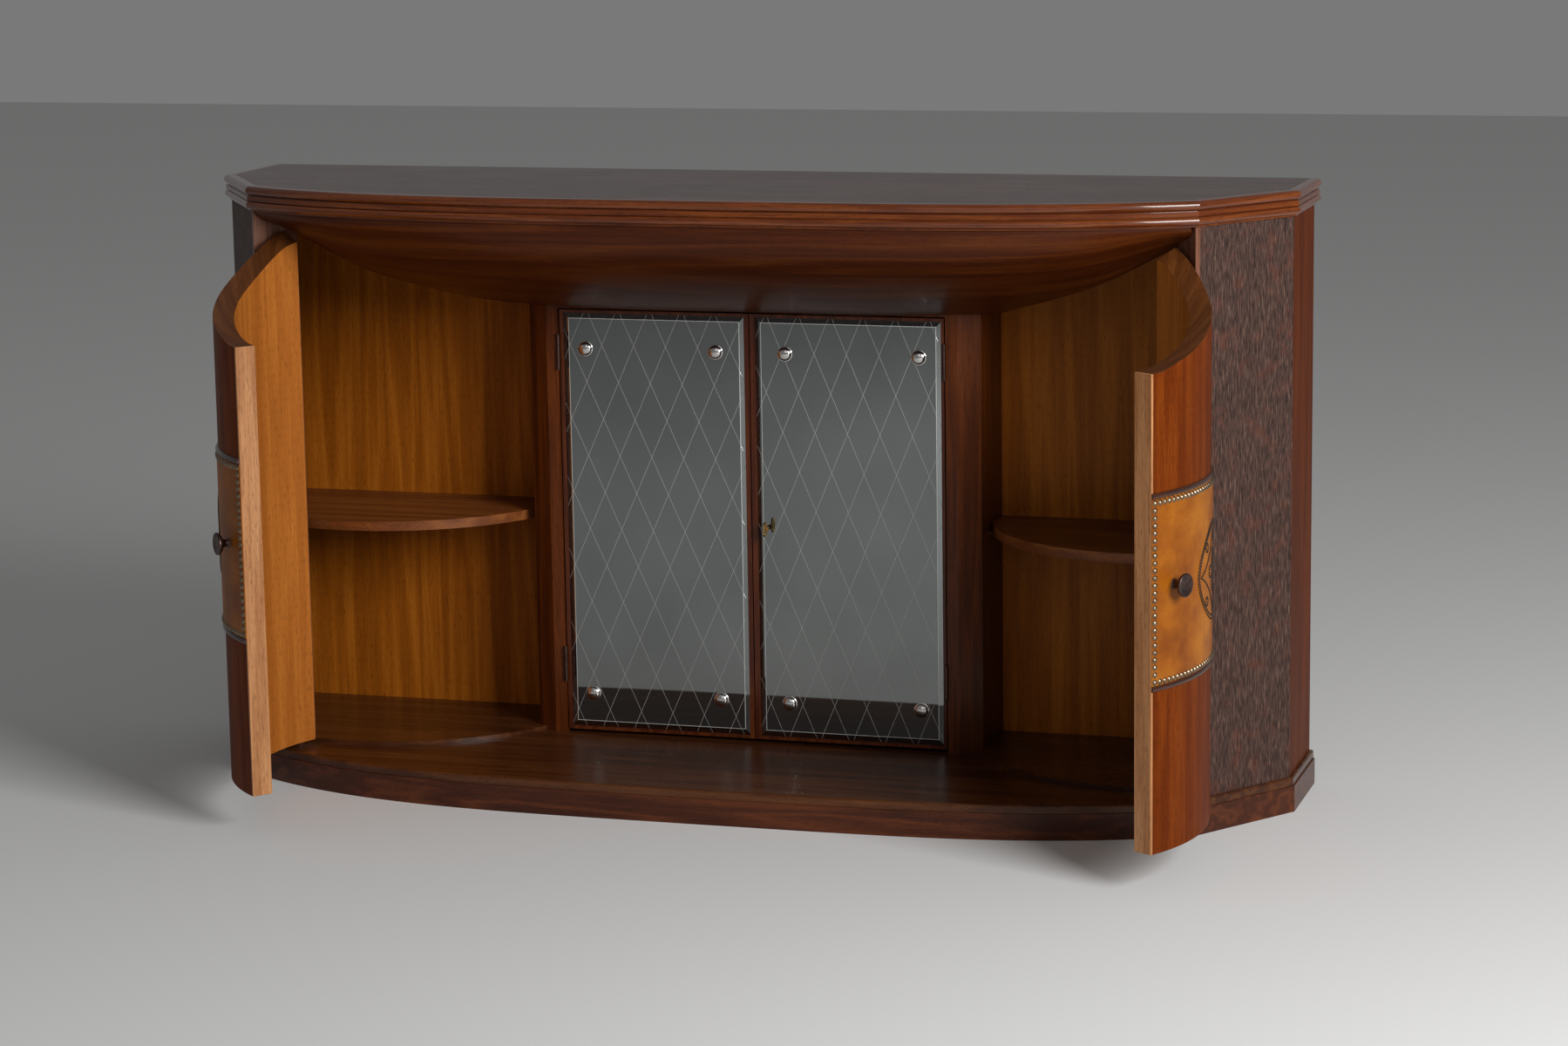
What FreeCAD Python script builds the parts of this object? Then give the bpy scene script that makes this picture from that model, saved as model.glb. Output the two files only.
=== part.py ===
import FreeCAD, Part
import math
import os
from FreeCAD import Placement, Rotation, Vector

# Bow-fronted bar console with two curved doors, a mirrored centre cabinet and a hull-shaped valance.
# Millimetres. X to the right, Y to the back, Z up. The origin is on the floor, on the centre line,
# halfway between the back and the front of the bow.

os.makedirs("parts", exist_ok=True)
doc = FreeCAD.newDocument("bar_console")

# Driving sizes
SIZES = [
    # Whole carcass, seen from above
    ("body_width", 1600.0),
    ("body_depth", 432.0),
    ("total_height", 882.0),
    ("side_facet_depth", 168.0),
    ("corner_run", 106.0),
    ("corner_depth", 159.0),
    ("bow_power_share", 3.86),
    # Plinth and base
    ("plinth_height", 37.5),
    ("plinth_proud", 8.0),
    ("plinth_rail_thickness", 20.0),
    ("plinth_block_leg", 45.0),
    ("base_thickness", 12.0),
    ("base_nose", 6.0),
    ("base_rounding", 3.0),
    # Top and its mouldings
    ("top_height", 36.0),
    ("moulding_seat", 6.0),
    ("upper_bead_height", 13.4),
    ("upper_bead_proud", 10.0),
    ("upper_bead_flat", 3.3),
    ("groove_height", 1.0),
    ("groove_proud", 5.0),
    ("fillet_height", 6.4),
    ("fillet_proud", 7.6),
    ("lower_bead_height", 11.6),
    ("lower_bead_proud", 9.4),
    ("lip_proud", 3.0),
    # Carcass boards
    ("side_thickness", 18.0),
    ("back_thickness", 8.0),
    ("partition_lap", 13.8469),
    ("partition_thickness", 18.0),
    ("post_nose", 9.0),
    ("post_grip", 60.0),
    ("pilaster_reach", 49.0),
    ("pilaster_lap", 7.0728),
    ("pilaster_depth", 49.0),
    ("header_thickness", 18.0),
    # Hull-shaped valance
    ("hull_drop", 156.0),
    ("hull_end_inset", 6.0),
    ("hull_setback", 1.0),
    ("hull_thickness", 14.0),
    ("hull_clearance", 33.0),
    ("hull_trim_times", 4.0),
    # Curved doors
    ("door_hinge_inset", 138.6344),
    ("door_hinge_back", 290.9689),
    ("door_radius", 295.0),
    ("door_thickness", 30.0),
    ("door_hinge_angle", -76.6),
    ("door_end_angle", -153.0),
    ("door_foot_gap", 3.0),
    ("door_top_gap", 2.5),
    ("door_end_gap", 1.5),
    ("edge_strip_thickness", 4.0),
    ("left_open_angle", 102.1),
    ("right_open_angle", 121.7),
    # Leather band, beads, nails and knob on each curved door
    ("band_centre_share", 0.44884),
    ("band_height", 262.0),
    ("leather_thickness", 1.6),
    ("bead_height", 8.0),
    ("bead_proud", 3.6),
    ("bead_end_inset", 10.0),
    ("nail_radius", 4.4),
    ("nail_dome", 3.1),
    ("nail_pitch", 9.8),
    ("nail_inset", 5.0),
    ("knob_drop", -7.0),
    ("knob_edge_distance", 44.0),
    ("knob_head_radius", 16.0),
    ("knob_head_height", 9.5),
    ("knob_stem_radius", 6.5),
    ("knob_waist_radius", 5.0),
    ("knob_projection", 21.5),
    ("knob_dowel_radius", 4.0),
    ("knob_dowel_length", 14.0),
    # Hinges of the curved doors
    ("hinge_length", 76.0),
    ("hinge_leaf_width", 24.0),
    ("hinge_leaf_thickness", 1.6),
    ("hinge_leaf_gap", 0.4),
    ("hinge_knuckle_radius", 3.25),
    ("hinge_proud", 4.4),
    ("hinge_pin_radius", 1.5),
    ("pin_head_height", 1.5),
    ("pin_head_proud", 1.0),
    ("lower_hinge_rise", 120.5),
    ("upper_hinge_drop", 156.0),
    # Mirror doors
    ("mirror_foot", 54.5),
    ("mirror_top_gap", 2.5),
    ("mirror_meeting_gap", 1.5),
    ("mirror_board_thickness", 18.0),
    ("mirror_rim_width", 4.5),
    ("mirror_stile_width", 7.2),
    ("mirror_rim_proud", 8.0),
    ("mirror_set_back", 2.0),
    ("glass_thickness", 4.0),
    ("glass_edge_gap", 0.5),
    ("bevel_width", 8.0),
    ("bevel_depth", 2.2),
    ("cap_radius", 11.5),
    ("cap_height", 7.0),
    ("cap_screw_radius", 2.0),
    ("cap_screw_length", 16.0),
    ("cap_inner_inset", 52.25),
    ("cap_outer_inset", 38.7),
    ("cap_low_inset", 55.5),
    ("cap_high_inset", 57.5),
    ("small_hinge_length", 50.0),
    ("small_leaf_width", 15.0),
    ("small_leaf_thickness", 1.0),
    ("small_leaf_gap", 0.3),
    ("small_knuckle_radius", 2.5),
    ("small_hinge_proud", 2.8),
    ("small_pin_radius", 1.2),
    ("small_hinge_low_inset", 75.5),
    ("small_hinge_high_inset", 87.5),
    # Lock and key in the right mirror door
    ("key_x", 25.0),
    ("key_height_share", 0.406152),
    ("lock_width", 44.0),
    ("lock_height", 58.0),
    ("lock_depth", 11.0),
    ("lock_wall", 1.5),
    ("bolt_width", 8.0),
    ("bolt_thickness", 4.0),
    ("bolt_length", 30.0),
    ("bolt_lift", 7.0),
    ("bolt_throw", 8.0),
    ("bolt_set_back", 0.5),
    ("bolt_gap", 0.3),
    ("key_shank_radius", 1.9),
    ("key_hole_radius", 3.4),
    ("key_bit_length", 6.2),
    ("key_bit_width", 3.5),
    ("key_projection", 27.0),
    ("key_bow_height", 22.0),
    ("key_bow_depth", 14.0),
    ("key_bow_thickness", 2.4),
    ("key_lobe_hole", 2.6),
    ("key_collar_length", 3.0),
    # Raised floors, shelves and their pins
    ("floor_panel_thickness", 5.5),
    ("floor_panel_clearance", 2.0),
    ("shelf_top_share", 0.41494),
    ("shelf_thickness", 14.0),
    ("shelf_radius_share", 0.871186),
    ("fit_gap", 0.5),
    ("shelf_pin_radius", 3.0),
    ("shelf_pin_length", 20.0),
    ("shelf_pin_inner_front", 58.0),
    ("shelf_pin_outer_front", 138.0),
    ("shelf_pin_back", 28.0),
    # Small clearances
    ("seat_gap", 0.05),
    ("running_gap", 0.06),
    ("knuckle_gap", 0.4),
    ("cut_overrun", 5.0),
]

# Sizes that follow from the driving ones, as formulas in the same sheet
FOLLOWING = [
    ("carcass_height", "=total_height - top_height - plinth_height - base_thickness"),
    ("door_centre_x", "=body_width / 2 - door_hinge_inset - door_radius * cos(door_hinge_angle)"),
    ("door_centre_back", "=door_hinge_back + door_radius * sin(door_hinge_angle)"),
    ("door_end_x", "=door_centre_x + door_radius * cos(door_end_angle)"),
    ("door_end_back", "=door_centre_back - door_radius * sin(door_end_angle)"),
    ("partition_outer_x", "=door_end_x + partition_lap"),
    ("pilaster_front", "=door_end_back + pilaster_lap"),
    ("hull_back_radius", "=door_radius - hull_clearance"),
    ("floor_panel_radius", "=door_radius - floor_panel_clearance"),
    ("shelf_radius", "=door_radius * shelf_radius_share"),
    ("pilaster_inner_x", "=partition_outer_x - pilaster_reach"),
    ("hull_half_length", "=body_width / 2 - corner_run - hull_end_inset"),
    ("band_centre", "=plinth_height + base_thickness + carcass_height * band_centre_share"),
    ("band_low", "=band_centre - band_height / 2"),
    ("band_high", "=band_centre + band_height / 2"),
    ("knob_height", "=band_centre - knob_drop"),
    ("lower_hinge_height", "=plinth_height + base_thickness + lower_hinge_rise"),
    ("upper_hinge_height", "=total_height - top_height - upper_hinge_drop"),
    ("mirror_edge", "=pilaster_inner_x - 2 * small_leaf_thickness - small_leaf_gap"),
    ("mirror_top", "=total_height - top_height - hull_drop - mirror_top_gap"),
    ("cap_inner_x", "=mirror_meeting_gap / 2 + cap_inner_inset"),
    ("cap_outer_x", "=mirror_edge - cap_outer_inset"),
    ("cap_low", "=mirror_foot + cap_low_inset"),
    ("cap_high", "=mirror_top - cap_high_inset"),
    ("small_lower_height", "=mirror_foot + small_hinge_low_inset"),
    ("small_upper_height", "=mirror_top - small_hinge_high_inset"),
    ("key_height", "=plinth_height + base_thickness + carcass_height * key_height_share"),
    ("shelf_top", "=plinth_height + base_thickness + carcass_height * shelf_top_share"),
]

sheet = doc.addObject("Spreadsheet::Sheet", "Sizes")
for row, (alias, value) in enumerate(SIZES + FOLLOWING, start=1):
    sheet.set(f"A{row}", alias)
    sheet.set(f"B{row}", str(value))
    sheet.setAlias(f"B{row}", alias)
doc.recompute()


class Measures:
    """The cells of the sheet as plain numbers."""


size = Measures()
for alias, _ in SIZES + FOLLOWING:
    setattr(size, alias, float(sheet.get(alias)))

# Shares of the valance's half length, and of its full drop, along its lower edge
HULL_EDGE_SHARES = [(0.0, 1.0), (0.3, 1.0), (0.5, 0.965), (0.6, 0.94), (0.69, 0.885), (0.76, 0.815),
                    (0.82, 0.71), (0.89, 0.52), (0.95, 0.345), (1.0, 0.28)]
HULL_STATION_SHARES = [0.0, 0.16, 0.32, 0.44, 0.53, 0.61, 0.69, 0.76, 0.83, 0.89, 0.94, 0.975, 1.0]
HULL_SECTION_TURN = math.radians(50)
BOW_STATION_SHARES = [-1.0, -0.93, -0.82, -0.68, -0.5, -0.26, 0.0, 0.26, 0.5, 0.68, 0.82, 0.93, 1.0]
LEFT, RIGHT = -1, 1
SIDES = {"left": LEFT, "right": RIGHT}

# Levels and lines that several pieces share
back_y = size.body_depth / 2
carcass_foot = size.plinth_height + size.base_thickness
carcass_top = size.total_height - size.top_height
corner_x = size.body_width / 2 - size.corner_run
corner_y = back_y - size.side_facet_depth - size.corner_depth
bow_sweep = size.body_depth - size.side_facet_depth - size.corner_depth
pilaster_y = back_y - size.pilaster_front
FOOT = "(Sizes.plinth_height + Sizes.base_thickness)"
TOP = "(Sizes.total_height - Sizes.top_height)"
CARCASS_HEIGHT = f"({TOP} - {FOOT})"
BACK = "(Sizes.body_depth / 2)"

nodes = {}


def keep(label, piece):
    """Names a finished piece after its file."""
    piece.Label = label
    nodes[label] = piece
    return piece


def bind(piece, **expressions):
    for name, expression in expressions.items():
        piece.setExpression(name.replace("__", "."), expression)
    return piece


def feature(label, shape, placement=None):
    piece = doc.addObject("Part::Feature", label)
    piece.Shape = shape
    if placement is not None:
        piece.Placement = placement
    return piece


def box(label, corner, lengths):
    """A board whose corner and lengths are expressions of the sheet."""
    piece = doc.addObject("Part::Box", label)
    bind(piece, Length=lengths[0], Width=lengths[1], Height=lengths[2])
    bind(piece, Placement__Base__x=corner[0], Placement__Base__y=corner[1], Placement__Base__z=corner[2])
    return piece


def drill(label, radius, length, start, axis):
    """A cylinder for a hole, with its start point in numbers and its radius and length in the sheet."""
    piece = doc.addObject("Part::Cylinder", label)
    bind(piece, Radius=radius, Height=length)
    piece.Placement = Placement(start, Rotation(Vector(0, 0, 1), axis))
    return piece


def cut(label, base, tools):
    if len(tools) == 1:
        tool = tools[0]
    else:
        tool = doc.addObject("Part::MultiFuse", label + "_cuts")
        tool.Shapes = tools
    piece = doc.addObject("Part::Cut", label)
    piece.Base = base
    piece.Tool = tool
    return piece


def fuse(label, pieces):
    piece = doc.addObject("Part::MultiFuse", label)
    piece.Shapes = pieces
    return piece


def plan_body(label, outline, start, height):
    """A board sawn to an outline in plan and extruded upwards."""
    body = doc.addObject("PartDesign::Body", label)
    sketch = body.newObject("Sketcher::SketchObject", label + "_plan")
    ground = [plane for plane in body.Origin.OriginFeatures if plane.Role == "XY_Plane"][0]
    sketch.AttachmentSupport = (ground, [""])
    sketch.MapMode = "FlatFace"
    sketch.setExpression("AttachmentOffset.Base.z", start)
    for curve in outline:
        sketch.addGeometry(curve, False)
    pad = body.newObject("PartDesign::Pad", label + "_pad")
    pad.Profile = sketch
    pad.setExpression("Length", height)
    body.Tip = pad
    return body


def polygon(points):
    """Straight edges from point to point and back to the first."""
    closed = points + points[:1]
    return [Part.LineSegment(a, b) for a, b in zip(closed, closed[1:])]


def flip(point, side):
    return Vector(point.x * side, point.y, point.z)


# Outline of the carcass in plan
def outline_corner(name, offset, side=RIGHT):
    """The front corner A, the side corner B or the back corner C, moved outwards square to both edges."""
    half_width = size.body_width / 2
    diagonal = math.hypot(size.corner_run, size.corner_depth)
    side_normal = Vector(1, 0, 0)
    diagonal_normal = Vector(size.corner_depth / diagonal, -size.corner_run / diagonal, 0)
    slope = bow_sweep * size.bow_power_share / corner_x
    bow_normal = Vector(slope, -1, 0).normalize()
    if name == "C":
        return Vector((half_width + offset) * side, back_y, 0)
    if name == "B":
        place, first, second = Vector(half_width, back_y - size.side_facet_depth, 0), side_normal, diagonal_normal
    else:
        place, first, second = Vector(corner_x, corner_y, 0), diagonal_normal, bow_normal
    place = place + (first + second) * (offset / (1 + first.dot(second)))
    return flip(place, side)


def bow_front(x):
    """Depth coordinate of the bowed front at a distance from the centre line."""
    return corner_y - bow_sweep * (1 - abs(x / corner_x) ** size.bow_power_share)


def bow_curve(offset, height=0.0):
    """The bowed front from the left corner to the right one, as one smooth curve."""
    points = []
    for share in BOW_STATION_SHARES:
        x = share * corner_x
        slope = bow_sweep * size.bow_power_share / corner_x * abs(share) ** (size.bow_power_share - 1)
        normal = Vector(math.copysign(slope, share), -1, 0).normalize()
        points.append(Vector(x, bow_front(x), 0) + normal * offset)
    points[0] = outline_corner("A", offset, LEFT)
    points[-1] = outline_corner("A", offset, RIGHT)
    for point in points:
        point.z = height
    curve = Part.BSplineCurve()
    curve.interpolate(Points=points, Parameters=[share + 1 for share in BOW_STATION_SHARES])
    return curve


def outline_loop(offset, height=0.0):
    """All six sides of the outline at an offset; the back stays in its plane."""
    def corner(name, side):
        place = outline_corner(name, offset, side)
        place.z = height
        return place
    return [
        Part.LineSegment(corner("C", LEFT), corner("B", LEFT)),
        Part.LineSegment(corner("B", LEFT), corner("A", LEFT)),
        bow_curve(offset, height),
        Part.LineSegment(corner("A", RIGHT), corner("B", RIGHT)),
        Part.LineSegment(corner("B", RIGHT), corner("C", RIGHT)),
        Part.LineSegment(corner("C", RIGHT), corner("C", LEFT)),
    ]


def front_strip(outer, inner):
    return [
        bow_curve(outer),
        Part.LineSegment(outline_corner("A", outer, RIGHT), outline_corner("A", inner, RIGHT)),
        bow_curve(inner),
        Part.LineSegment(outline_corner("A", inner, LEFT), outline_corner("A", outer, LEFT)),
    ]


def facet_strip(first, second, outer, inner, side):
    """A mitred strip along one straight facet of the outline."""
    return polygon([outline_corner(first, outer, side), outline_corner(second, outer, side),
                    outline_corner(second, inner, side), outline_corner(first, inner, side)])


def smooth_share(table, share):
    """Reads a table of shares with a smooth curve through its rows."""
    xs = [row[0] for row in table]
    ys = [row[1] for row in table]
    last = len(xs) - 1
    slopes = []
    for i in range(len(xs)):
        a, b = max(i - 1, 0), min(i + 1, last)
        slopes.append((ys[b] - ys[a]) / (xs[b] - xs[a]) if i else 0.0)
    share = min(max(share, xs[0]), xs[-1])
    i = max(k for k in range(last) if xs[k] <= share)
    width = xs[i + 1] - xs[i]
    u = (share - xs[i]) / width
    return ((1 + 2 * u) * (1 - u) ** 2 * ys[i] + u * (1 - u) ** 2 * width * slopes[i]
            + u * u * (3 - 2 * u) * ys[i + 1] + u * u * (u - 1) * width * slopes[i + 1])


# Arc of the curved doors, for the right side; the left side mirrors it
arc_centre = Vector(size.door_centre_x, back_y - size.door_centre_back, 0)
hinge_angle = math.radians(size.door_hinge_angle)
end_angle = math.radians(size.door_end_angle)
out_dir = Vector(math.cos(hinge_angle), math.sin(hinge_angle), 0)
to_door = Vector(math.sin(hinge_angle), -math.cos(hinge_angle), 0)
end_dir = Vector(math.cos(end_angle), math.sin(end_angle), 0)
past_end = Vector(math.sin(end_angle), -math.cos(end_angle), 0)
hinge_gap = 2 * size.hinge_leaf_thickness + size.hinge_leaf_gap
pivot = arc_centre + out_dir * (size.door_radius + size.hinge_proud)


def on_arc(radius, angle):
    return arc_centre + Vector(radius * math.cos(angle), radius * math.sin(angle), 0)


def arc_between(radius, first, last, side):
    middle = (first + last) / 2
    return Part.Arc(*[flip(on_arc(radius, angle), side) for angle in (first, middle, last)])


def edge_angle(radius, distance):
    """Angle on a radius where the surface lies a distance past the hinge line, measured square to it."""
    return hinge_angle - math.asin(distance / radius)


# Hull-shaped valance: the underside over any point in plan
def hull_drop_at(x):
    return size.hull_drop * smooth_share(HULL_EDGE_SHARES, abs(x) / size.hull_half_length)


def hull_point(x, front, drop, turn):
    """A point of the valance's section, from its front at the top to its back at the bottom."""
    share = (1 - math.cos(turn)) / (1 - math.cos(HULL_SECTION_TURN))
    fall = drop * math.sin(turn) / math.sin(HULL_SECTION_TURN)
    return Vector(x, front + (pilaster_y - front) * share, carcass_top - fall)


def hull_underside(place):
    """Height of the valance's outer skin over a point, or None where there is no valance."""
    x, y = abs(place.x), place.y
    front = bow_front(x) + size.hull_setback
    if x > size.hull_half_length or not front <= y <= pilaster_y:
        return None
    if math.hypot(x - arc_centre.x, y - arc_centre.y) < size.hull_back_radius:
        return None
    share = (y - front) / (pilaster_y - front)
    turn = math.acos(1 - share * (1 - math.cos(HULL_SECTION_TURN)))
    return carcass_top - hull_drop_at(x) * math.sin(turn) / math.sin(HULL_SECTION_TURN)


def turned(place, centre, angle):
    arm = place - centre
    c, s = math.cos(angle), math.sin(angle)
    return centre + Vector(arm.x * c - arm.y * s, arm.x * s + arm.y * c, 0)


def door_ceiling(angle, radius):
    """Highest top that a point of the curved door may have over its whole swing."""
    place = on_arc(radius, angle)
    heights = []
    for step in range(SWING_STEPS + 1):
        height = hull_underside(turned(place, pivot, WHOLE_SWING * step / SWING_STEPS))
        if height is not None:
            heights.append(height)
    return min(heights, default=carcass_top) - size.door_top_gap


SWING_STEPS = 62
WHOLE_SWING = math.radians(124)
SECTION_STEPS = 8
HULL_WALL_SHARE = 0.55
DOOR_TOP_STEPS = 16
door_inner_radius = size.door_radius - size.door_thickness
door_foot = carcass_foot + size.floor_panel_thickness + size.door_foot_gap
DOOR_FOOT = f"({FOOT} + Sizes.floor_panel_thickness + Sizes.door_foot_gap)"


# Plinth: mitred rails along the outline, a back rail, a centre rail and glue blocks in the corners
rail_outer = size.plinth_proud
rail_inner = size.plinth_proud - size.plinth_rail_thickness
keep("plinth_front_rail", plan_body("plinth_front_rail", front_strip(rail_outer, rail_inner),
                                    "0", "Sizes.plinth_height"))
for name, side in SIDES.items():
    for label, first, second in [("diagonal", "A", "B"), ("side", "B", "C")]:
        label = f"plinth_{name}_{label}_rail"
        strip = facet_strip(first, second, rail_outer, rail_inner, side)
        keep(label, plan_body(label, strip, "0", "Sizes.plinth_height"))
half_span = "(Sizes.body_width / 2 + Sizes.plinth_proud - Sizes.plinth_rail_thickness)"
keep("plinth_back_rail", box(
    "plinth_back_rail",
    (f"-{half_span}", f"{BACK} - Sizes.plinth_rail_thickness", "0"),
    (f"2 * {half_span}", "Sizes.plinth_rail_thickness", "Sizes.plinth_height")))
front_inside = "(Sizes.plinth_rail_thickness - Sizes.body_depth / 2 - Sizes.plinth_proud)"
keep("plinth_centre_rail", box(
    "plinth_centre_rail",
    ("-Sizes.plinth_rail_thickness / 2", front_inside, "0"),
    ("Sizes.plinth_rail_thickness", f"{BACK} - Sizes.plinth_rail_thickness - {front_inside}",
     "Sizes.plinth_height")))
blocks = []
for side in SIDES.values():
    front = outline_corner("A", rail_inner, side)
    middle = outline_corner("B", rail_inner, side)
    back = outline_corner("C", rail_inner, side) - Vector(0, size.plinth_rail_thickness, 0)
    along_bow_x = (corner_x - size.plinth_block_leg) * side
    slope = bow_sweep * size.bow_power_share / corner_x * abs(along_bow_x / corner_x) ** (size.bow_power_share - 1)
    bow_normal = Vector(slope * side, -1, 0).normalize()
    on_bow = Vector(along_bow_x, bow_front(along_bow_x), 0) + bow_normal * (rail_inner - size.seat_gap)
    forward = (front - middle).normalize() * size.plinth_block_leg
    rearward = Vector(0, size.plinth_block_leg, 0)
    inward = Vector(-size.plinth_block_leg * side, 0, 0)
    for points in ([front, front - forward, on_bow], [middle, middle + forward, middle + rearward],
                   [back, back - rearward, back + inward]):
        face = Part.Face(Part.makePolygon(points + points[:1]))
        blocks.append(face.extrude(Vector(0, 0, size.plinth_height)))
keep("plinth_corner_blocks", feature("plinth_corner_blocks", Part.makeCompound(blocks)))

# Base board with a rounded upper edge that is also the deck in front of the doors
def base_board():
    """The outline carried up the edge of the board, which turns inwards over its last few millimetres."""
    radius = size.base_rounding
    turns = [QUARTER_TURN * step / ROUNDING_STEPS for step in range(ROUNDING_STEPS + 1)]
    levels = [(size.base_nose, size.plinth_height)]
    levels += [(size.base_nose - radius * (1 - math.cos(turn)), carcass_foot - radius * (1 - math.sin(turn)))
               for turn in turns]
    loops = [[curve.toShape() for curve in outline_loop(*level)] for level in levels]
    faces = [Part.Face(Part.Wire(loop)) for loop in (loops[0], loops[-1])]
    for below, above in zip(loops, loops[1:]):
        faces += [Part.makeRuledSurface(a, b) for a, b in zip(below, above)]
    shell = Part.makeShell(faces)
    shell.sewShape()
    solid = Part.makeSolid(Part.makeShell(shell.Faces))
    if solid.Volume < 0:
        solid.reverse()
    return solid


QUARTER_TURN = math.pi / 2
ROUNDING_STEPS = 4
keep("base_board", feature("base_board", base_board()))

# Sides, corner posts, partitions, pilasters, header and back
panel_out, panel_in = 0.0, -size.side_thickness
diagonal_dir = (outline_corner("B", 0.0) - outline_corner("A", 0.0)).normalize()
diagonal_in = Vector(-diagonal_dir.y, diagonal_dir.x, 0)
post_front = outline_corner("A", 0.0)
post_seat_out = post_front + diagonal_dir * size.post_nose
post_seat_in = post_seat_out + diagonal_in * size.side_thickness
post_grip = post_front + diagonal_dir * size.post_grip + diagonal_in * size.side_thickness
post_face_outer = arc_centre + out_dir * size.door_radius - to_door * (hinge_gap / 2)
post_face_inner = arc_centre + out_dir * size.hull_back_radius - to_door * (hinge_gap / 2)
seat_normal = past_end * size.door_end_gap


def seat_at_x(x):
    """Point of the door's seat on the pilaster at a distance from the centre line."""
    reach = (x - arc_centre.x - seat_normal.x) / end_dir.x
    return arc_centre + seat_normal + end_dir * reach


def seat_at_y(y):
    reach = (y - arc_centre.y - seat_normal.y) / end_dir.y
    return arc_centre + seat_normal + end_dir * reach


pilaster_back = pilaster_y + size.pilaster_depth
inner_b = outline_corner("B", panel_in)
pin_heights = "(Sizes.shelf_top - Sizes.shelf_thickness - Sizes.shelf_pin_radius)"
pin_height = size.shelf_top - size.shelf_thickness - size.shelf_pin_radius
shelf_pins = []
for name, side in SIDES.items():
    side_wall = plan_body(f"{name}_side_blank", facet_strip("B", "C", panel_out, panel_in, side),
                          FOOT, CARCASS_HEIGHT)
    partition = box(
        f"{name}_partition_blank",
        ("Sizes.partition_outer_x - Sizes.partition_thickness" if side == RIGHT else "-Sizes.partition_outer_x",
         f"{BACK} - Sizes.pilaster_front + Sizes.pilaster_depth", FOOT),
        ("Sizes.partition_thickness", "Sizes.pilaster_front - Sizes.pilaster_depth - Sizes.back_thickness",
         CARCASS_HEIGHT))
    side_holes, partition_holes = [], []
    for number, (wall_x, inward, depth) in enumerate([
            (size.body_width / 2 - size.side_thickness, RIGHT, size.shelf_pin_outer_front),
            (size.body_width / 2 - size.side_thickness, RIGHT, size.shelf_pin_back),
            (size.partition_outer_x, LEFT, size.shelf_pin_inner_front),
            (size.partition_outer_x, LEFT, size.shelf_pin_back)]):
        axis = Vector(inward * side, 0, 0)
        start = Vector(wall_x * side, back_y - depth, pin_height) - axis * (size.shelf_pin_length / 2)
        hole = drill(f"{name}_pin_hole_{number}", "Sizes.shelf_pin_radius + Sizes.seat_gap",
                     "Sizes.shelf_pin_length", start, axis)
        (side_holes if inward == RIGHT else partition_holes).append(hole)
        shelf_pins.append(Part.makeCylinder(size.shelf_pin_radius, size.shelf_pin_length, start, axis))
    keep(f"{name}_side_panel", cut(f"{name}_side_panel", side_wall, side_holes))
    keep(f"{name}_partition", cut(f"{name}_partition", partition, partition_holes))
    outer_b = outline_corner("B", panel_out)
    slope_board = [post_seat_out, outer_b, inner_b, post_seat_in]
    keep(f"{name}_diagonal_panel", plan_body(
        f"{name}_diagonal_panel", polygon([flip(point, side) for point in slope_board]), FOOT, CARCASS_HEIGHT))
    post = [post_front, post_face_outer, post_face_inner, post_grip, post_seat_in, post_seat_out]
    keep(f"{name}_corner_post", plan_body(
        f"{name}_corner_post", polygon([flip(point, side) for point in post]), FOOT, CARCASS_HEIGHT))
    pilaster = [Vector(size.pilaster_inner_x, pilaster_y, 0), seat_at_y(pilaster_y),
                seat_at_x(size.partition_outer_x), Vector(size.partition_outer_x, pilaster_back, 0),
                Vector(size.pilaster_inner_x, pilaster_back, 0)]
    keep(f"{name}_pilaster", plan_body(
        f"{name}_pilaster", polygon([flip(point, side) for point in pilaster]), FOOT, CARCASS_HEIGHT))
keep("shelf_pins", feature("shelf_pins", Part.makeCompound(shelf_pins)))
keep("header_rail", box(
    "header_rail",
    ("-Sizes.pilaster_inner_x", f"{BACK} - Sizes.pilaster_front", f"{TOP} - Sizes.hull_drop"),
    ("2 * Sizes.pilaster_inner_x", "Sizes.header_thickness", "Sizes.hull_drop")))
keep("back_panel", box(
    "back_panel",
    ("Sizes.side_thickness - Sizes.body_width / 2", f"{BACK} - Sizes.back_thickness", FOOT),
    ("Sizes.body_width - 2 * Sizes.side_thickness", "Sizes.back_thickness", CARCASS_HEIGHT)))

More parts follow.
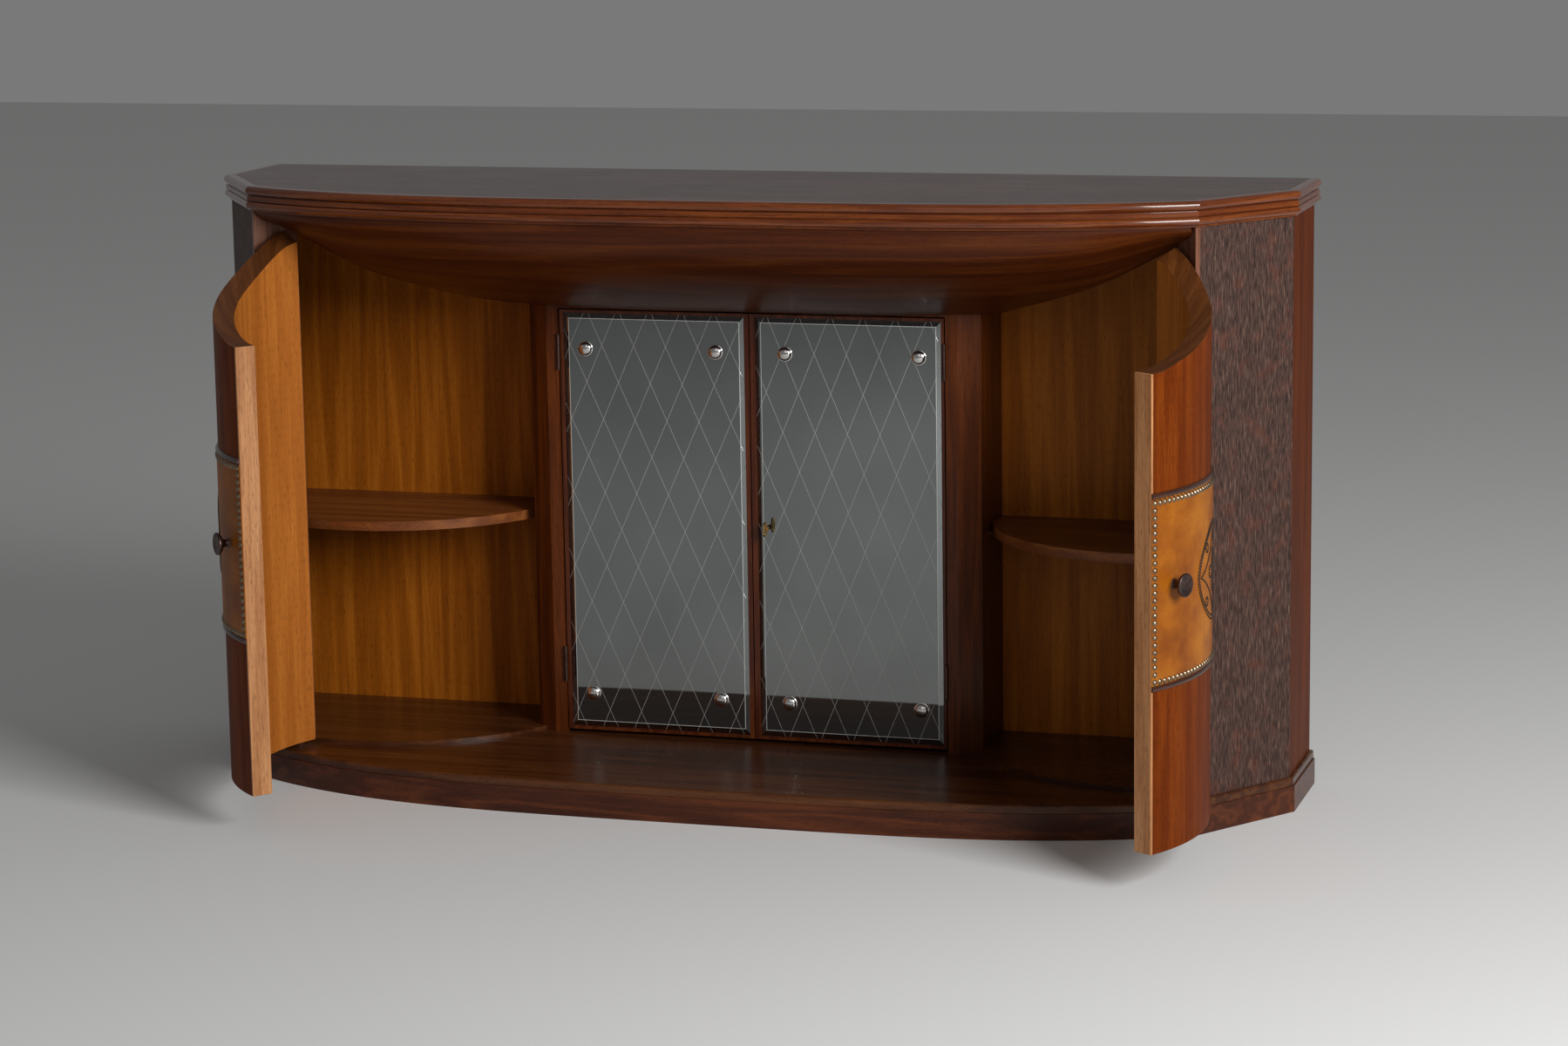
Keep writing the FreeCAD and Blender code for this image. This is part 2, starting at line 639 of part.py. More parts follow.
# Raised floors under the curved doors, and shelves behind them
panel_back = back_y - size.back_thickness
for name, side in SIDES.items():
    seat_outer = arc_centre + seat_normal + end_dir * size.floor_panel_radius
    hinge_corner = arc_centre + out_dir * size.floor_panel_radius - to_door * (hinge_gap / 2)
    middle = on_arc(size.floor_panel_radius, (hinge_angle + end_angle) / 2)
    floor = [post_face_inner, post_grip, inner_b,
             Vector(size.body_width / 2 - size.side_thickness, panel_back, 0),
             Vector(size.partition_outer_x, panel_back, 0), seat_at_x(size.partition_outer_x), seat_outer]
    floor = [flip(point, side) for point in [hinge_corner] + floor]
    edges = [Part.LineSegment(a, b) for a, b in zip(floor, floor[1:])]
    edges.append(Part.Arc(floor[-1], flip(middle, side), floor[0]))
    keep(f"{name}_floor_panel", plan_body(f"{name}_floor_panel", edges, FOOT, "Sizes.floor_panel_thickness"))

    gap = size.fit_gap
    wall_x = size.partition_outer_x + gap
    at_wall = Vector(wall_x, arc_centre.y - math.sqrt(size.shelf_radius ** 2 - (wall_x - arc_centre.x) ** 2), 0)
    line_start = outline_corner("B", panel_in - gap)
    arm = line_start - arc_centre
    along = -arm.dot(diagonal_dir)
    foot_point = line_start + diagonal_dir * along
    half_chord = math.sqrt(size.shelf_radius ** 2 - (foot_point - arc_centre).Length ** 2)
    at_slope = foot_point - diagonal_dir * half_chord
    start_angle = math.atan2(at_slope.y - arc_centre.y, at_slope.x - arc_centre.x)
    stop_angle = math.atan2(at_wall.y - arc_centre.y, at_wall.x - arc_centre.x)
    middle = on_arc(size.shelf_radius, (start_angle + stop_angle) / 2)
    shelf = [at_slope, line_start, Vector(size.body_width / 2 - size.side_thickness - gap, panel_back - gap, 0),
             Vector(wall_x, panel_back - gap, 0), at_wall]
    shelf = [flip(point, side) for point in shelf]
    edges = [Part.LineSegment(a, b) for a, b in zip(shelf, shelf[1:])]
    edges.append(Part.Arc(shelf[-1], flip(middle, side), shelf[0]))
    keep(f"{name}_shelf", plan_body(f"{name}_shelf", edges, "Sizes.shelf_top - Sizes.shelf_thickness",
                                    "Sizes.shelf_thickness"))

# Top board and the mitred mouldings round it
keep("top_board", plan_body("top_board", outline_loop(-size.moulding_seat - size.seat_gap), TOP, "Sizes.top_height"))
ARC_STEPS = 8


def round_points(start, crest, stop):
    """Points along a circular arc through three places of the moulding's section."""
    curve = Part.Arc(Vector(*start, 0), Vector(*crest, 0), Vector(*stop, 0)).toShape()
    return [(point.x, point.y) for point in curve.discretize(ARC_STEPS + 1)]


def moulding_section():
    """Runs of the section as lists of (distance outwards, height); each run becomes one edge."""
    top = size.total_height
    radius = size.upper_bead_height / 2
    bead_root = size.upper_bead_proud - radius
    z1 = top - size.upper_bead_height
    z2 = z1 - size.groove_height
    z3 = z2 - size.fillet_height
    z4 = z3 - size.groove_height
    z5 = z4 - size.lower_bead_height
    seat = -size.moulding_seat
    inset, proud = size.groove_proud, size.fillet_proud
    return [
        [(seat, top), (bead_root, top)],
        round_points((bead_root, top), (size.upper_bead_proud, top - radius), (bead_root, z1)),
        [(bead_root, z1), (inset, z1)],
        [(inset, z1), (inset, z2)],
        [(inset, z2), (proud, z2)],
        [(proud, z2), (proud, z3)],
        [(proud, z3), (inset, z3)],
        [(inset, z3), (inset, z4)],
        round_points((inset, z4), (size.lower_bead_proud, (z4 + z5) / 2), (inset, z5)),
        [(inset, z5), (size.lip_proud, z5)],
        [(size.lip_proud, z5), (size.lip_proud, carcass_top)],
        [(size.lip_proud, carcass_top), (seat, carcass_top)],
        [(seat, carcass_top), (seat, top)],
    ]


def section_points():
    """The section's points in order, each one once."""
    points = []
    for run in moulding_section():
        points += run[:-1]
    return points


def mitred_moulding(first, second, side):
    """The section carried straight from one mitred corner of the outline to the next."""
    ends = []
    for name in (first, second):
        corners = []
        for out, height in section_points():
            place = outline_corner(name, out, side)
            place.z = height
            corners.append(place)
        ends.append(corners)
    return sewn_solid([[Part.LineSegment(a, b) for a, b in zip(*ends)]], ends)


def sewn_solid(sides, ends):
    """A solid from flat end polygons and ruled faces between neighbouring curves of each side."""
    faces = [Part.Face(Part.makePolygon(corners + corners[:1])) for corners in ends]
    for curves in sides:
        shapes = [curve.toShape() for curve in curves]
        faces += [Part.makeRuledSurface(a, b) for a, b in zip(shapes, shapes[1:] + shapes[:1])]
    shell = Part.makeShell(faces)
    shell.sewShape()
    solid = Part.makeSolid(Part.makeShell(shell.Faces))
    if solid.Volume < 0:
        solid.reverse()
    return solid


def front_moulding():
    """The same section carried along the bow, every point of it on its own offset curve."""
    points = section_points()
    ends = []
    for side in SIDES.values():
        corners = []
        for out, height in points:
            corner = outline_corner("A", out, side)
            corner.z = height
            corners.append(corner)
        ends.append(corners)
    return sewn_solid([[bow_curve(out, height) for out, height in points]], ends)


keep("front_moulding", feature("front_moulding", front_moulding()))
for name, side in SIDES.items():
    for label, first, second in [("diagonal", "A", "B"), ("side", "B", "C")]:
        label = f"{name}_{label}_moulding"
        keep(label, feature(label, mitred_moulding(first, second, side)))


# Hull-shaped valance, lofted through its sections and trimmed round the curved doors
def hull_section(x):
    front = bow_front(x) + size.hull_setback
    drop = hull_drop_at(x)
    wall = min(size.hull_thickness, drop * HULL_WALL_SHARE)
    turns = [HULL_SECTION_TURN * step / SECTION_STEPS for step in range(SECTION_STEPS + 1)]
    skin = [hull_point(x, front, drop, turn) for turn in turns]
    lining = [hull_point(x, front + wall, drop - wall, turn) for turn in turns]
    edges = []
    for points in (skin, lining[::-1]):
        curve = Part.BSplineCurve()
        curve.interpolate(points)
        edges.append(curve.toShape())
    foot = Part.LineSegment(skin[-1], lining[-1]).toShape()
    head = Part.LineSegment(lining[0], skin[0]).toShape()
    return Part.Wire([edges[0], foot, edges[1], head])


stations = [-share for share in HULL_STATION_SHARES[:0:-1]] + HULL_STATION_SHARES
hull_blank = feature("hull_blank", Part.makeLoft(
    [hull_section(share * size.hull_half_length) for share in stations], True, False))
hull_tools = []
for name, side in SIDES.items():
    hull_tools.append(drill(f"{name}_hull_trim", "Sizes.hull_back_radius", "Sizes.total_height",
                            flip(arc_centre, side), Vector(0, 0, 1)))
    line = (post_face_inner - post_face_outer)
    far = size.body_width / 2
    points = [post_front, post_face_outer, post_face_outer + line * size.hull_trim_times,
              Vector(far, post_face_outer.y + line.y * size.hull_trim_times, 0), Vector(far, post_front.y, 0)]
    face = Part.Face(Part.makePolygon([flip(point, side) for point in points + points[:1]]))
    hull_tools.append(feature(f"{name}_hull_end_trim", face.extrude(Vector(0, 0, size.total_height))))
keep("apron_hull", cut("apron_hull", hull_blank, hull_tools))


# Hinges: three knuckles, the middle one on the door
def hinge(centre, to_pin, toward_door, foot, length, leaf_width, leaf_thickness, leaf_gap, knuckle, proud, pin):
    """Frame leaf, door leaf and pin of one butt hinge."""
    third = length / 3
    gap = size.knuckle_gap / 2
    zones = [(0.0, third - gap), (third + gap, 2 * third - gap), (2 * third + gap, length)]
    bore = Part.makeCylinder(pin + size.running_gap, length + 2 * size.cut_overrun,
                             centre + Vector(0, 0, foot - size.cut_overrun))

    def plate(sign, near, low, high):
        inner = toward_door * (sign * leaf_gap / 2)
        outer = toward_door * (sign * (leaf_gap / 2 + leaf_thickness))
        far = to_pin * (proud + leaf_width)
        close = to_pin * near
        points = [centre - far + inner, centre - close + inner, centre - close + outer, centre - far + outer]
        face = Part.Face(Part.makePolygon(points + points[:1]))
        face.translate(Vector(0, 0, foot + low))
        return face.extrude(Vector(0, 0, high - low))

    def leaf(sign, own):
        shape = plate(sign, knuckle + size.knuckle_gap, 0.0, length)
        for low, high in own:
            barrel = Part.makeCylinder(knuckle, high - low, centre + Vector(0, 0, foot + low))
            shape = shape.fuse([plate(sign, 0.0, low, high), barrel])
        return shape.cut(bore).removeSplitter()

    head = size.pin_head_height
    rod = Part.makeCylinder(pin, length + 2 * head, centre + Vector(0, 0, foot - head))
    for low in (foot - head, foot + length):
        rod = rod.fuse(Part.makeCylinder(pin + size.pin_head_proud, head, centre + Vector(0, 0, low)))
    return leaf(-1, [zones[0], zones[2]]), leaf(1, [zones[1]]), rod.removeSplitter()


frame_leaves, pins = [], []
door_leaves = {}
small_pivot = Vector(size.pilaster_inner_x - size.small_leaf_thickness - size.small_leaf_gap / 2,
                     pilaster_y - size.small_hinge_proud, 0)
mirror_edge = size.pilaster_inner_x - 2 * size.small_leaf_thickness - size.small_leaf_gap
small_proud = size.small_hinge_proud + size.mirror_set_back
sets = [("door", pivot, out_dir, to_door, [size.lower_hinge_height, size.upper_hinge_height],
         (size.hinge_length, size.hinge_leaf_width, size.hinge_leaf_thickness, size.hinge_leaf_gap,
          size.hinge_knuckle_radius, size.hinge_proud, size.hinge_pin_radius)),
        ("mirror", small_pivot, Vector(0, -1, 0), Vector(-1, 0, 0),
         [size.small_lower_height, size.small_upper_height],
         (size.small_hinge_length, size.small_leaf_width, size.small_leaf_thickness, size.small_leaf_gap,
          size.small_knuckle_radius, small_proud, size.small_pin_radius))]
for name, side in SIDES.items():
    for kind, centre, to_pin, toward, heights, dims in sets:
        leaves = []
        for height in heights:
            shapes = hinge(centre, to_pin, toward, height, *dims)
            if side == LEFT:
                shapes = [shape.mirror(Vector(), Vector(1, 0, 0)) for shape in shapes]
            frame_leaves.append(shapes[0])
            leaves.append(shapes[1])
            pins.append(shapes[2])
        door_leaves[name, kind] = Part.makeCompound(leaves)
keep("frame_hinge_leaves", feature("frame_hinge_leaves", Part.makeCompound(frame_leaves)))
keep("hinge_pins", feature("hinge_pins", Part.makeCompound(pins)))


# Curved doors, drawn closed and swung open about their pins
def door_top(angle):
    """Heights of the door's top at its outer and inner faces."""
    middle_radius = (size.door_radius + door_inner_radius) / 2
    outer, middle, inner = [door_ceiling(angle, radius)
                            for radius in (size.door_radius, middle_radius, door_inner_radius)]
    excess = max((outer + inner) / 2 - middle, 0.0)
    return outer - excess, inner - excess


def door_top_cut():
    """Everything above the curved top of the door, on the right side."""
    first = edge_angle(size.door_radius, hinge_gap / 2)
    reach = size.cut_overrun / size.door_thickness
    rows = []
    for step in range(DOOR_TOP_STEPS + 1):
        angle = first + (end_angle - first) * step / DOOR_TOP_STEPS
        rows.append((angle, *door_top(angle)))
    # one more row past each end, carried on straight
    spread = (end_angle - first) / DOOR_TOP_STEPS
    rows.insert(0, (rows[0][0] - spread, *[2 * rows[0][k] - rows[1][k] for k in (1, 2)]))
    rows.append((rows[-1][0] + spread, *[2 * rows[-1][k] - rows[-2][k] for k in (1, 2)]))
    outer, inner = [], []
    for angle, high, low in rows:
        grade = (high - low) * reach
        place = on_arc(size.door_radius + size.cut_overrun, angle)
        outer.append(Vector(place.x, place.y, high + grade))
        place = on_arc(door_inner_radius - size.cut_overrun, angle)
        inner.append(Vector(place.x, place.y, low - grade))
    curves = []
    for points in (outer, inner):
        curve = Part.BSplineCurve()
        curve.interpolate(points)
        curves.append(curve.toShape())
    return Part.makeRuledSurface(*curves).extrude(Vector(0, 0, size.total_height))


def around_door(points, first, last):
    """Turns a closed section, given as (radius, height) runs, about the axis of the door's arc."""
    edges = []
    for run in points:
        places = [arc_centre + Vector(radius * math.cos(first), radius * math.sin(first), height)
                  for radius, height in run]
        if len(places) == 2:
            edges.append(Part.LineSegment(*places).toShape())
        else:
            edges.append(Part.Arc(*places).toShape())
    face = Part.Face(Part.Wire(edges))
    return face.revolve(arc_centre, Vector(0, 0, 1), math.degrees(last - first))


def dome(radius, height, place, axis):
    """A shallow domed head standing on a face."""
    ball = (radius ** 2 + height ** 2) / (2 * height)
    crest = place + axis * height
    side_dir = axis.cross(Vector(0, 0, 1)).normalize()
    half_up = math.asin(radius / ball) / 2
    centre = crest - axis * ball
    rim = place + side_dir * radius
    mid = centre + axis * (ball * math.cos(half_up)) + side_dir * (ball * math.sin(half_up))
    edges = [Part.LineSegment(place, rim).toShape(), Part.Arc(rim, mid, crest).toShape(),
             Part.LineSegment(crest, place).toShape()]
    return Part.Face(Part.Wire(edges)).revolve(place, axis, FULL_TURN)


FULL_TURN = 360.0
top_cut = door_top_cut()
knob_angle = end_angle + size.knob_edge_distance / size.door_radius
knob_dir = Vector(math.cos(knob_angle), math.sin(knob_angle), 0)
leather_face = size.door_radius + size.leather_thickness
band_start = edge_angle(size.door_radius, hinge_gap / 2 + size.bead_end_inset)
band_end = end_angle + size.fit_gap / size.door_radius
leather_low = size.band_low + size.bead_height
leather_high = size.band_high - size.bead_height


def strip_angle(radius, distance):
    """Angle on a radius where the door ends, a distance short of its free end face."""
    return end_angle + math.asin(distance / radius)


def door_plan(side):
    hinge_side = [edge_angle(radius, hinge_gap / 2) for radius in (size.door_radius, door_inner_radius)]
    free_side = [strip_angle(radius, size.edge_strip_thickness) for radius in (size.door_radius, door_inner_radius)]
    outer = arc_between(size.door_radius, hinge_side[0], free_side[0], side)
    inner = arc_between(door_inner_radius, free_side[1], hinge_side[1], side)
    corner = [flip(on_arc(radius, angle), side) for radius, angle in (
        (size.door_radius, free_side[0]), (door_inner_radius, free_side[1]),
        (door_inner_radius, hinge_side[1]), (size.door_radius, hinge_side[0]))]
    return [outer, Part.LineSegment(corner[0], corner[1]), inner, Part.LineSegment(corner[2], corner[3])]


def strip_plan(side):
    points = []
    for radius, distance in ((size.door_radius, size.edge_strip_thickness), (size.door_radius, 0.0),
                             (door_inner_radius, 0.0), (door_inner_radius, size.edge_strip_thickness)):
        points.append(flip(on_arc(radius, strip_angle(radius, distance)), side))
    return polygon(points)


def bead_run(low):
    root, crest = size.door_radius, size.door_radius + size.bead_proud
    return [[(root, low), (crest, low + size.bead_height / 2), (root, low + size.bead_height)],
            [(root, low + size.bead_height), (root, low)]]


def knob_shape():
    """Dowel, waisted stem and mushroom head in one turning."""
    base = arc_centre + knob_dir * size.door_radius + Vector(0, 0, size.knob_height)
    up = Vector(0, 0, 1)
    head_foot = size.knob_projection - size.knob_head_height

    def at(radius, out):
        return base + knob_dir * out + up * radius

    waist = (size.leather_thickness + head_foot) / 2
    rim = head_foot + size.knob_head_height * KNOB_RIM_SHARE
    shoulder = size.knob_head_radius * KNOB_SHOULDER_SHARE
    crown = size.knob_projection - rim
    ball = (shoulder ** 2 + crown ** 2) / (2 * crown)
    ball_centre = size.knob_projection - ball
    half_crown = math.asin(shoulder / ball) / 2
    edges = [
        Part.LineSegment(at(0, -size.knob_dowel_length), at(size.knob_dowel_radius, -size.knob_dowel_length)),
        Part.LineSegment(at(size.knob_dowel_radius, -size.knob_dowel_length),
                         at(size.knob_dowel_radius, size.leather_thickness)),
        Part.LineSegment(at(size.knob_dowel_radius, size.leather_thickness),
                         at(size.knob_stem_radius, size.leather_thickness)),
        Part.Arc(at(size.knob_stem_radius, size.leather_thickness), at(size.knob_waist_radius, waist),
                 at(size.knob_stem_radius, head_foot)),
        Part.LineSegment(at(size.knob_stem_radius, head_foot), at(shoulder, head_foot)),
        Part.Arc(at(shoulder, head_foot), at(size.knob_head_radius, (head_foot + rim) / 2), at(shoulder, rim)),
        Part.Arc(at(shoulder, rim), at(ball * math.sin(half_crown), ball_centre + ball * math.cos(half_crown)),
                 at(0, size.knob_projection)),
        Part.LineSegment(at(0, size.knob_projection), at(0, -size.knob_dowel_length)),
    ]
    face = Part.Face(Part.Wire([edge.toShape() for edge in edges]))
    return face.revolve(base, knob_dir, FULL_TURN)


KNOB_RIM_SHARE = 0.45
KNOB_SHOULDER_SHARE = 0.93


def nail_places():
    """Angles and heights of the nails in a frame round the leather."""
    low, high = leather_low + size.nail_inset, leather_high - size.nail_inset
    start = band_start - size.nail_inset / leather_face
    stop = band_end + size.nail_inset / leather_face
    along = round(abs(stop - start) * leather_face / size.nail_pitch)
    up = round((high - low) / size.nail_pitch)
    places = []
    for step in range(along + 1):
        angle = start + (stop - start) * step / along
        places += [(angle, low), (angle, high)]
    for step in range(1, up):
        height = low + (high - low) * step / up
        places += [(start, height), (stop, height)]
    return places


def nails():
    shapes = []
    for angle, height in nail_places():
        axis = Vector(math.cos(angle), math.sin(angle), 0)
        shapes.append(dome(size.nail_radius, size.nail_dome, arc_centre + axis * leather_face + Vector(0, 0, height),
                           axis))
    return Part.makeCompound(shapes)


bead_shapes = Part.makeCompound([around_door(bead_run(low), band_start, band_end)
                                 for low in (size.band_low, size.band_high - size.bead_height)])
leather_back = size.door_radius + size.seat_gap
leather_run = [[(leather_back, leather_low), (leather_face, leather_low)],
               [(leather_face, leather_low), (leather_face, leather_high)],
               [(leather_face, leather_high), (leather_back, leather_high)],
               [(leather_back, leather_high), (leather_back, leather_low)]]
knob_hole = Part.makeCylinder(size.knob_dowel_radius + size.seat_gap, size.knob_dowel_length + 2 * size.cut_overrun,
                              arc_centre + knob_dir * (size.door_radius - size.knob_dowel_length - size.seat_gap)
                              + Vector(0, 0, size.knob_height), knob_dir)
leather_shape = around_door(leather_run, band_start, band_end).cut(knob_hole)
closed_shapes = {"beads": bead_shapes, "leather": leather_shape, "nails": nails(), "knob": knob_shape()}
open_angles = {"left": size.left_open_angle, "right": size.right_open_angle}


def mirrored(shape, side):
    return shape if side == RIGHT else shape.mirror(Vector(), Vector(1, 0, 0))


for name, side in SIDES.items():
    swing = Placement(Vector(), Rotation(Vector(0, 0, 1), side * open_angles[name]), flip(pivot, side))
    above = feature(f"{name}_door_above", mirrored(top_cut, side))
    dowel_hole = feature(f"{name}_door_dowel_hole", mirrored(knob_hole, side))
    height = f"{TOP} - {DOOR_FOOT}"
    blank = plan_body(f"{name}_door_blank", door_plan(side), DOOR_FOOT, height)
    panel = cut(f"{name}_door_panel", blank, [above, dowel_hole])
    strip_blank = plan_body(f"{name}_door_edge_blank", strip_plan(side), DOOR_FOOT, height)
    strip = cut(f"{name}_door_edge_strip", strip_blank, [above])
    for piece in (panel, strip):
        piece.Placement = swing
        keep(piece.Name, piece)
    for label, shape in closed_shapes.items():
        label = f"{name}_door_{label}"
        keep(label, feature(label, mirrored(shape, side), swing))
    label = f"{name}_door_hinge_leaves"
    keep(label, feature(label, door_leaves[name, "door"], swing))

# Mirror doors: a board with a raised rim, a bevelled glass, and four domed caps with their screws
EDGE = "(Sizes.pilaster_inner_x - 2 * Sizes.small_leaf_thickness - Sizes.small_leaf_gap)"
MEET = "(Sizes.mirror_meeting_gap / 2)"
MIRROR_WIDTH = f"({EDGE} - {MEET})"
MIRROR_TOP = f"({TOP} - Sizes.hull_drop - Sizes.mirror_top_gap)"
MIRROR_HEIGHT = f"({MIRROR_TOP} - Sizes.mirror_foot)"
MIRROR_FRONT = f"({BACK} - Sizes.pilaster_front + Sizes.mirror_set_back)"
BOARD_FRONT = f"({MIRROR_FRONT} + Sizes.mirror_rim_proud)"
mirror_front = pilaster_y + size.mirror_set_back
board_front = mirror_front + size.mirror_rim_proud
glass_front = board_front - size.glass_thickness
GLASS_INSET = "(Sizes.mirror_rim_width + Sizes.glass_edge_gap)"


def on_side(side, near, width):
    """The lowest X of a block that starts at a distance from the centre line on one side."""
    return near if side == RIGHT else f"-({near}) - ({width})"


lock_y = board_front + size.mirror_board_thickness - size.lock_depth
bolt_y = lock_y + size.lock_depth / 2
LOCK_FRONT = f"({BOARD_FRONT} + Sizes.mirror_board_thickness - Sizes.lock_depth)"
BOLT_FRONT = f"({LOCK_FRONT} + Sizes.lock_depth / 2 - Sizes.bolt_thickness / 2)"
BOLT_FOOT = "(Sizes.key_height + Sizes.bolt_lift)"
for name, side in SIDES.items():
    blank = box(f"{name}_mirror_blank", (on_side(side, MEET, MIRROR_WIDTH), MIRROR_FRONT, "Sizes.mirror_foot"),
                (MIRROR_WIDTH, "Sizes.mirror_rim_proud + Sizes.mirror_board_thickness", MIRROR_HEIGHT))
    rim = "Sizes.mirror_rim_width"
    stile = "Sizes.mirror_stile_width"
    tray_width = f"{MIRROR_WIDTH} - {rim} - {stile}"
    tray = box(f"{name}_mirror_tray",
               (on_side(side, f"{MEET} + {stile}", tray_width),
                f"{MIRROR_FRONT} - Sizes.cut_overrun", f"Sizes.mirror_foot + {rim}"),
               (tray_width, "Sizes.mirror_rim_proud + Sizes.cut_overrun", f"{MIRROR_HEIGHT} - 2 * {rim}"))
    board_tools = [tray]

    # glass: a flat back part and a front part that narrows over the bevel
    near, width = f"{MEET} + {stile} + Sizes.glass_edge_gap", f"{tray_width} - 2 * Sizes.glass_edge_gap"
    flat = box(f"{name}_glass_flat",
               (on_side(side, near, width), f"{BOARD_FRONT} - Sizes.glass_thickness + Sizes.bevel_depth",
                f"Sizes.mirror_foot + {GLASS_INSET}"),
               (width, "Sizes.glass_thickness - Sizes.bevel_depth", f"{MIRROR_HEIGHT} - 2 * {GLASS_INSET}"))
    bevel = doc.addObject("Part::Wedge", f"{name}_glass_bevel")
    bind(bevel, Xmin="Sizes.bevel_width", Xmax=f"{width} - Sizes.bevel_width", X2min="0", X2max=width,
         Zmin="Sizes.bevel_width", Zmax=f"{MIRROR_HEIGHT} - 2 * {GLASS_INSET} - Sizes.bevel_width",
         Z2min="0", Z2max=f"{MIRROR_HEIGHT} - 2 * {GLASS_INSET}", Ymin="0", Ymax="Sizes.bevel_depth",
         Placement__Base__x=on_side(side, near, width),
         Placement__Base__y=f"{BOARD_FRONT} - Sizes.glass_thickness",
         Placement__Base__z=f"Sizes.mirror_foot + {GLASS_INSET}")
    glass_blank = fuse(f"{name}_glass_blank", [flat, bevel])
    glass_tools = []
    caps = []
    for number, (x, z) in enumerate([(x, z) for x in (size.cap_inner_x, size.cap_outer_x)
                                     for z in (size.cap_low, size.cap_high)]):
        place = Vector(x * side, glass_front, z)
        inward = Vector(0, 1, 0)
        glass_tools.append(drill(f"{name}_cap_glass_hole_{number}", "Sizes.cap_screw_radius + Sizes.knuckle_gap",
                                 "Sizes.cap_screw_length", place - inward * size.cut_overrun, inward))
        board_tools.append(drill(f"{name}_cap_board_hole_{number}", "Sizes.cap_screw_radius + Sizes.seat_gap",
                                 "Sizes.cap_screw_length + Sizes.seat_gap", place, inward))
        screw = Part.makeCylinder(size.cap_screw_radius, size.cap_screw_length, place, inward)
        caps.append(dome(size.cap_radius, size.cap_height, place, -inward).fuse(screw).removeSplitter())
    keep(f"{name}_mirror_caps", feature(f"{name}_mirror_caps", Part.makeCompound(caps)))
    keep(f"{name}_mirror_hinge_leaves", feature(f"{name}_mirror_hinge_leaves", door_leaves[name, "mirror"]))
    if side == RIGHT:
        key_place = Vector(size.key_x, mirror_front - size.cut_overrun, size.key_height)
        depth = "Sizes.mirror_board_thickness + Sizes.mirror_rim_proud"
        glass_tools.append(drill("keyhole_glass", "Sizes.key_hole_radius", depth, key_place, Vector(0, 1, 0)))
        board_tools.append(drill("keyhole_board", "Sizes.key_hole_radius", depth, key_place, Vector(0, 1, 0)))
        board_tools.append(box("lock_pocket", (f"{MEET} - Sizes.cut_overrun", LOCK_FRONT,
                                               "Sizes.key_height - Sizes.lock_height / 2"),
                               ("Sizes.lock_width + Sizes.cut_overrun", "Sizes.lock_depth + Sizes.cut_overrun",
                                "Sizes.lock_height")))
    else:
        board_tools.append(box("bolt_mortise", (f"-{MEET} - Sizes.bolt_throw", f"{BOLT_FRONT} - Sizes.fit_gap",
                                                f"{BOLT_FOOT} - Sizes.fit_gap"),
                               ("Sizes.bolt_throw + Sizes.cut_overrun", "Sizes.bolt_thickness + 2 * Sizes.fit_gap",
                                "Sizes.bolt_width + 2 * Sizes.fit_gap")))
    keep(f"{name}_mirror_door_board", cut(f"{name}_mirror_door_board", blank, board_tools))
    keep(f"{name}_mirror_glass", cut(f"{name}_mirror_glass", glass_blank, glass_tools))

# Lock: a case let into the back of the right mirror door, its bolt, and the key
case = box("lock_case_blank", (MEET, LOCK_FRONT, "Sizes.key_height - Sizes.lock_height / 2"),
           ("Sizes.lock_width", "Sizes.lock_depth", "Sizes.lock_height"))
wall = "Sizes.lock_wall"
cavity = box("lock_cavity", (f"{MEET} + {wall}", f"{LOCK_FRONT} + {wall}",
                             f"Sizes.key_height - Sizes.lock_height / 2 + {wall}"),
             (f"Sizes.lock_width - 2 * {wall}", f"Sizes.lock_depth - 2 * {wall}",
              f"Sizes.lock_height - 2 * {wall}"))
bolt_slot = box("bolt_slot", (f"{MEET} - Sizes.cut_overrun", f"{BOLT_FRONT} - Sizes.bolt_gap",
                              f"{BOLT_FOOT} - Sizes.bolt_gap"),
                (f"{wall} + 2 * Sizes.cut_overrun", "Sizes.bolt_thickness + 2 * Sizes.bolt_gap",
                 "Sizes.bolt_width + 2 * Sizes.bolt_gap"))
keyway = drill("lock_keyway", "Sizes.key_shank_radius + Sizes.bolt_gap", "Sizes.lock_wall + Sizes.cut_overrun",
               Vector(size.key_x, lock_y - size.cut_overrun, size.key_height), Vector(0, 1, 0))
keep("lock_case", cut("lock_case", case, [cavity, bolt_slot, keyway]))
keep("lock_bolt", box("lock_bolt", (f"{MEET} + Sizes.bolt_set_back", BOLT_FRONT, BOLT_FOOT),
                      ("Sizes.bolt_length", "Sizes.bolt_thickness", "Sizes.bolt_width")))


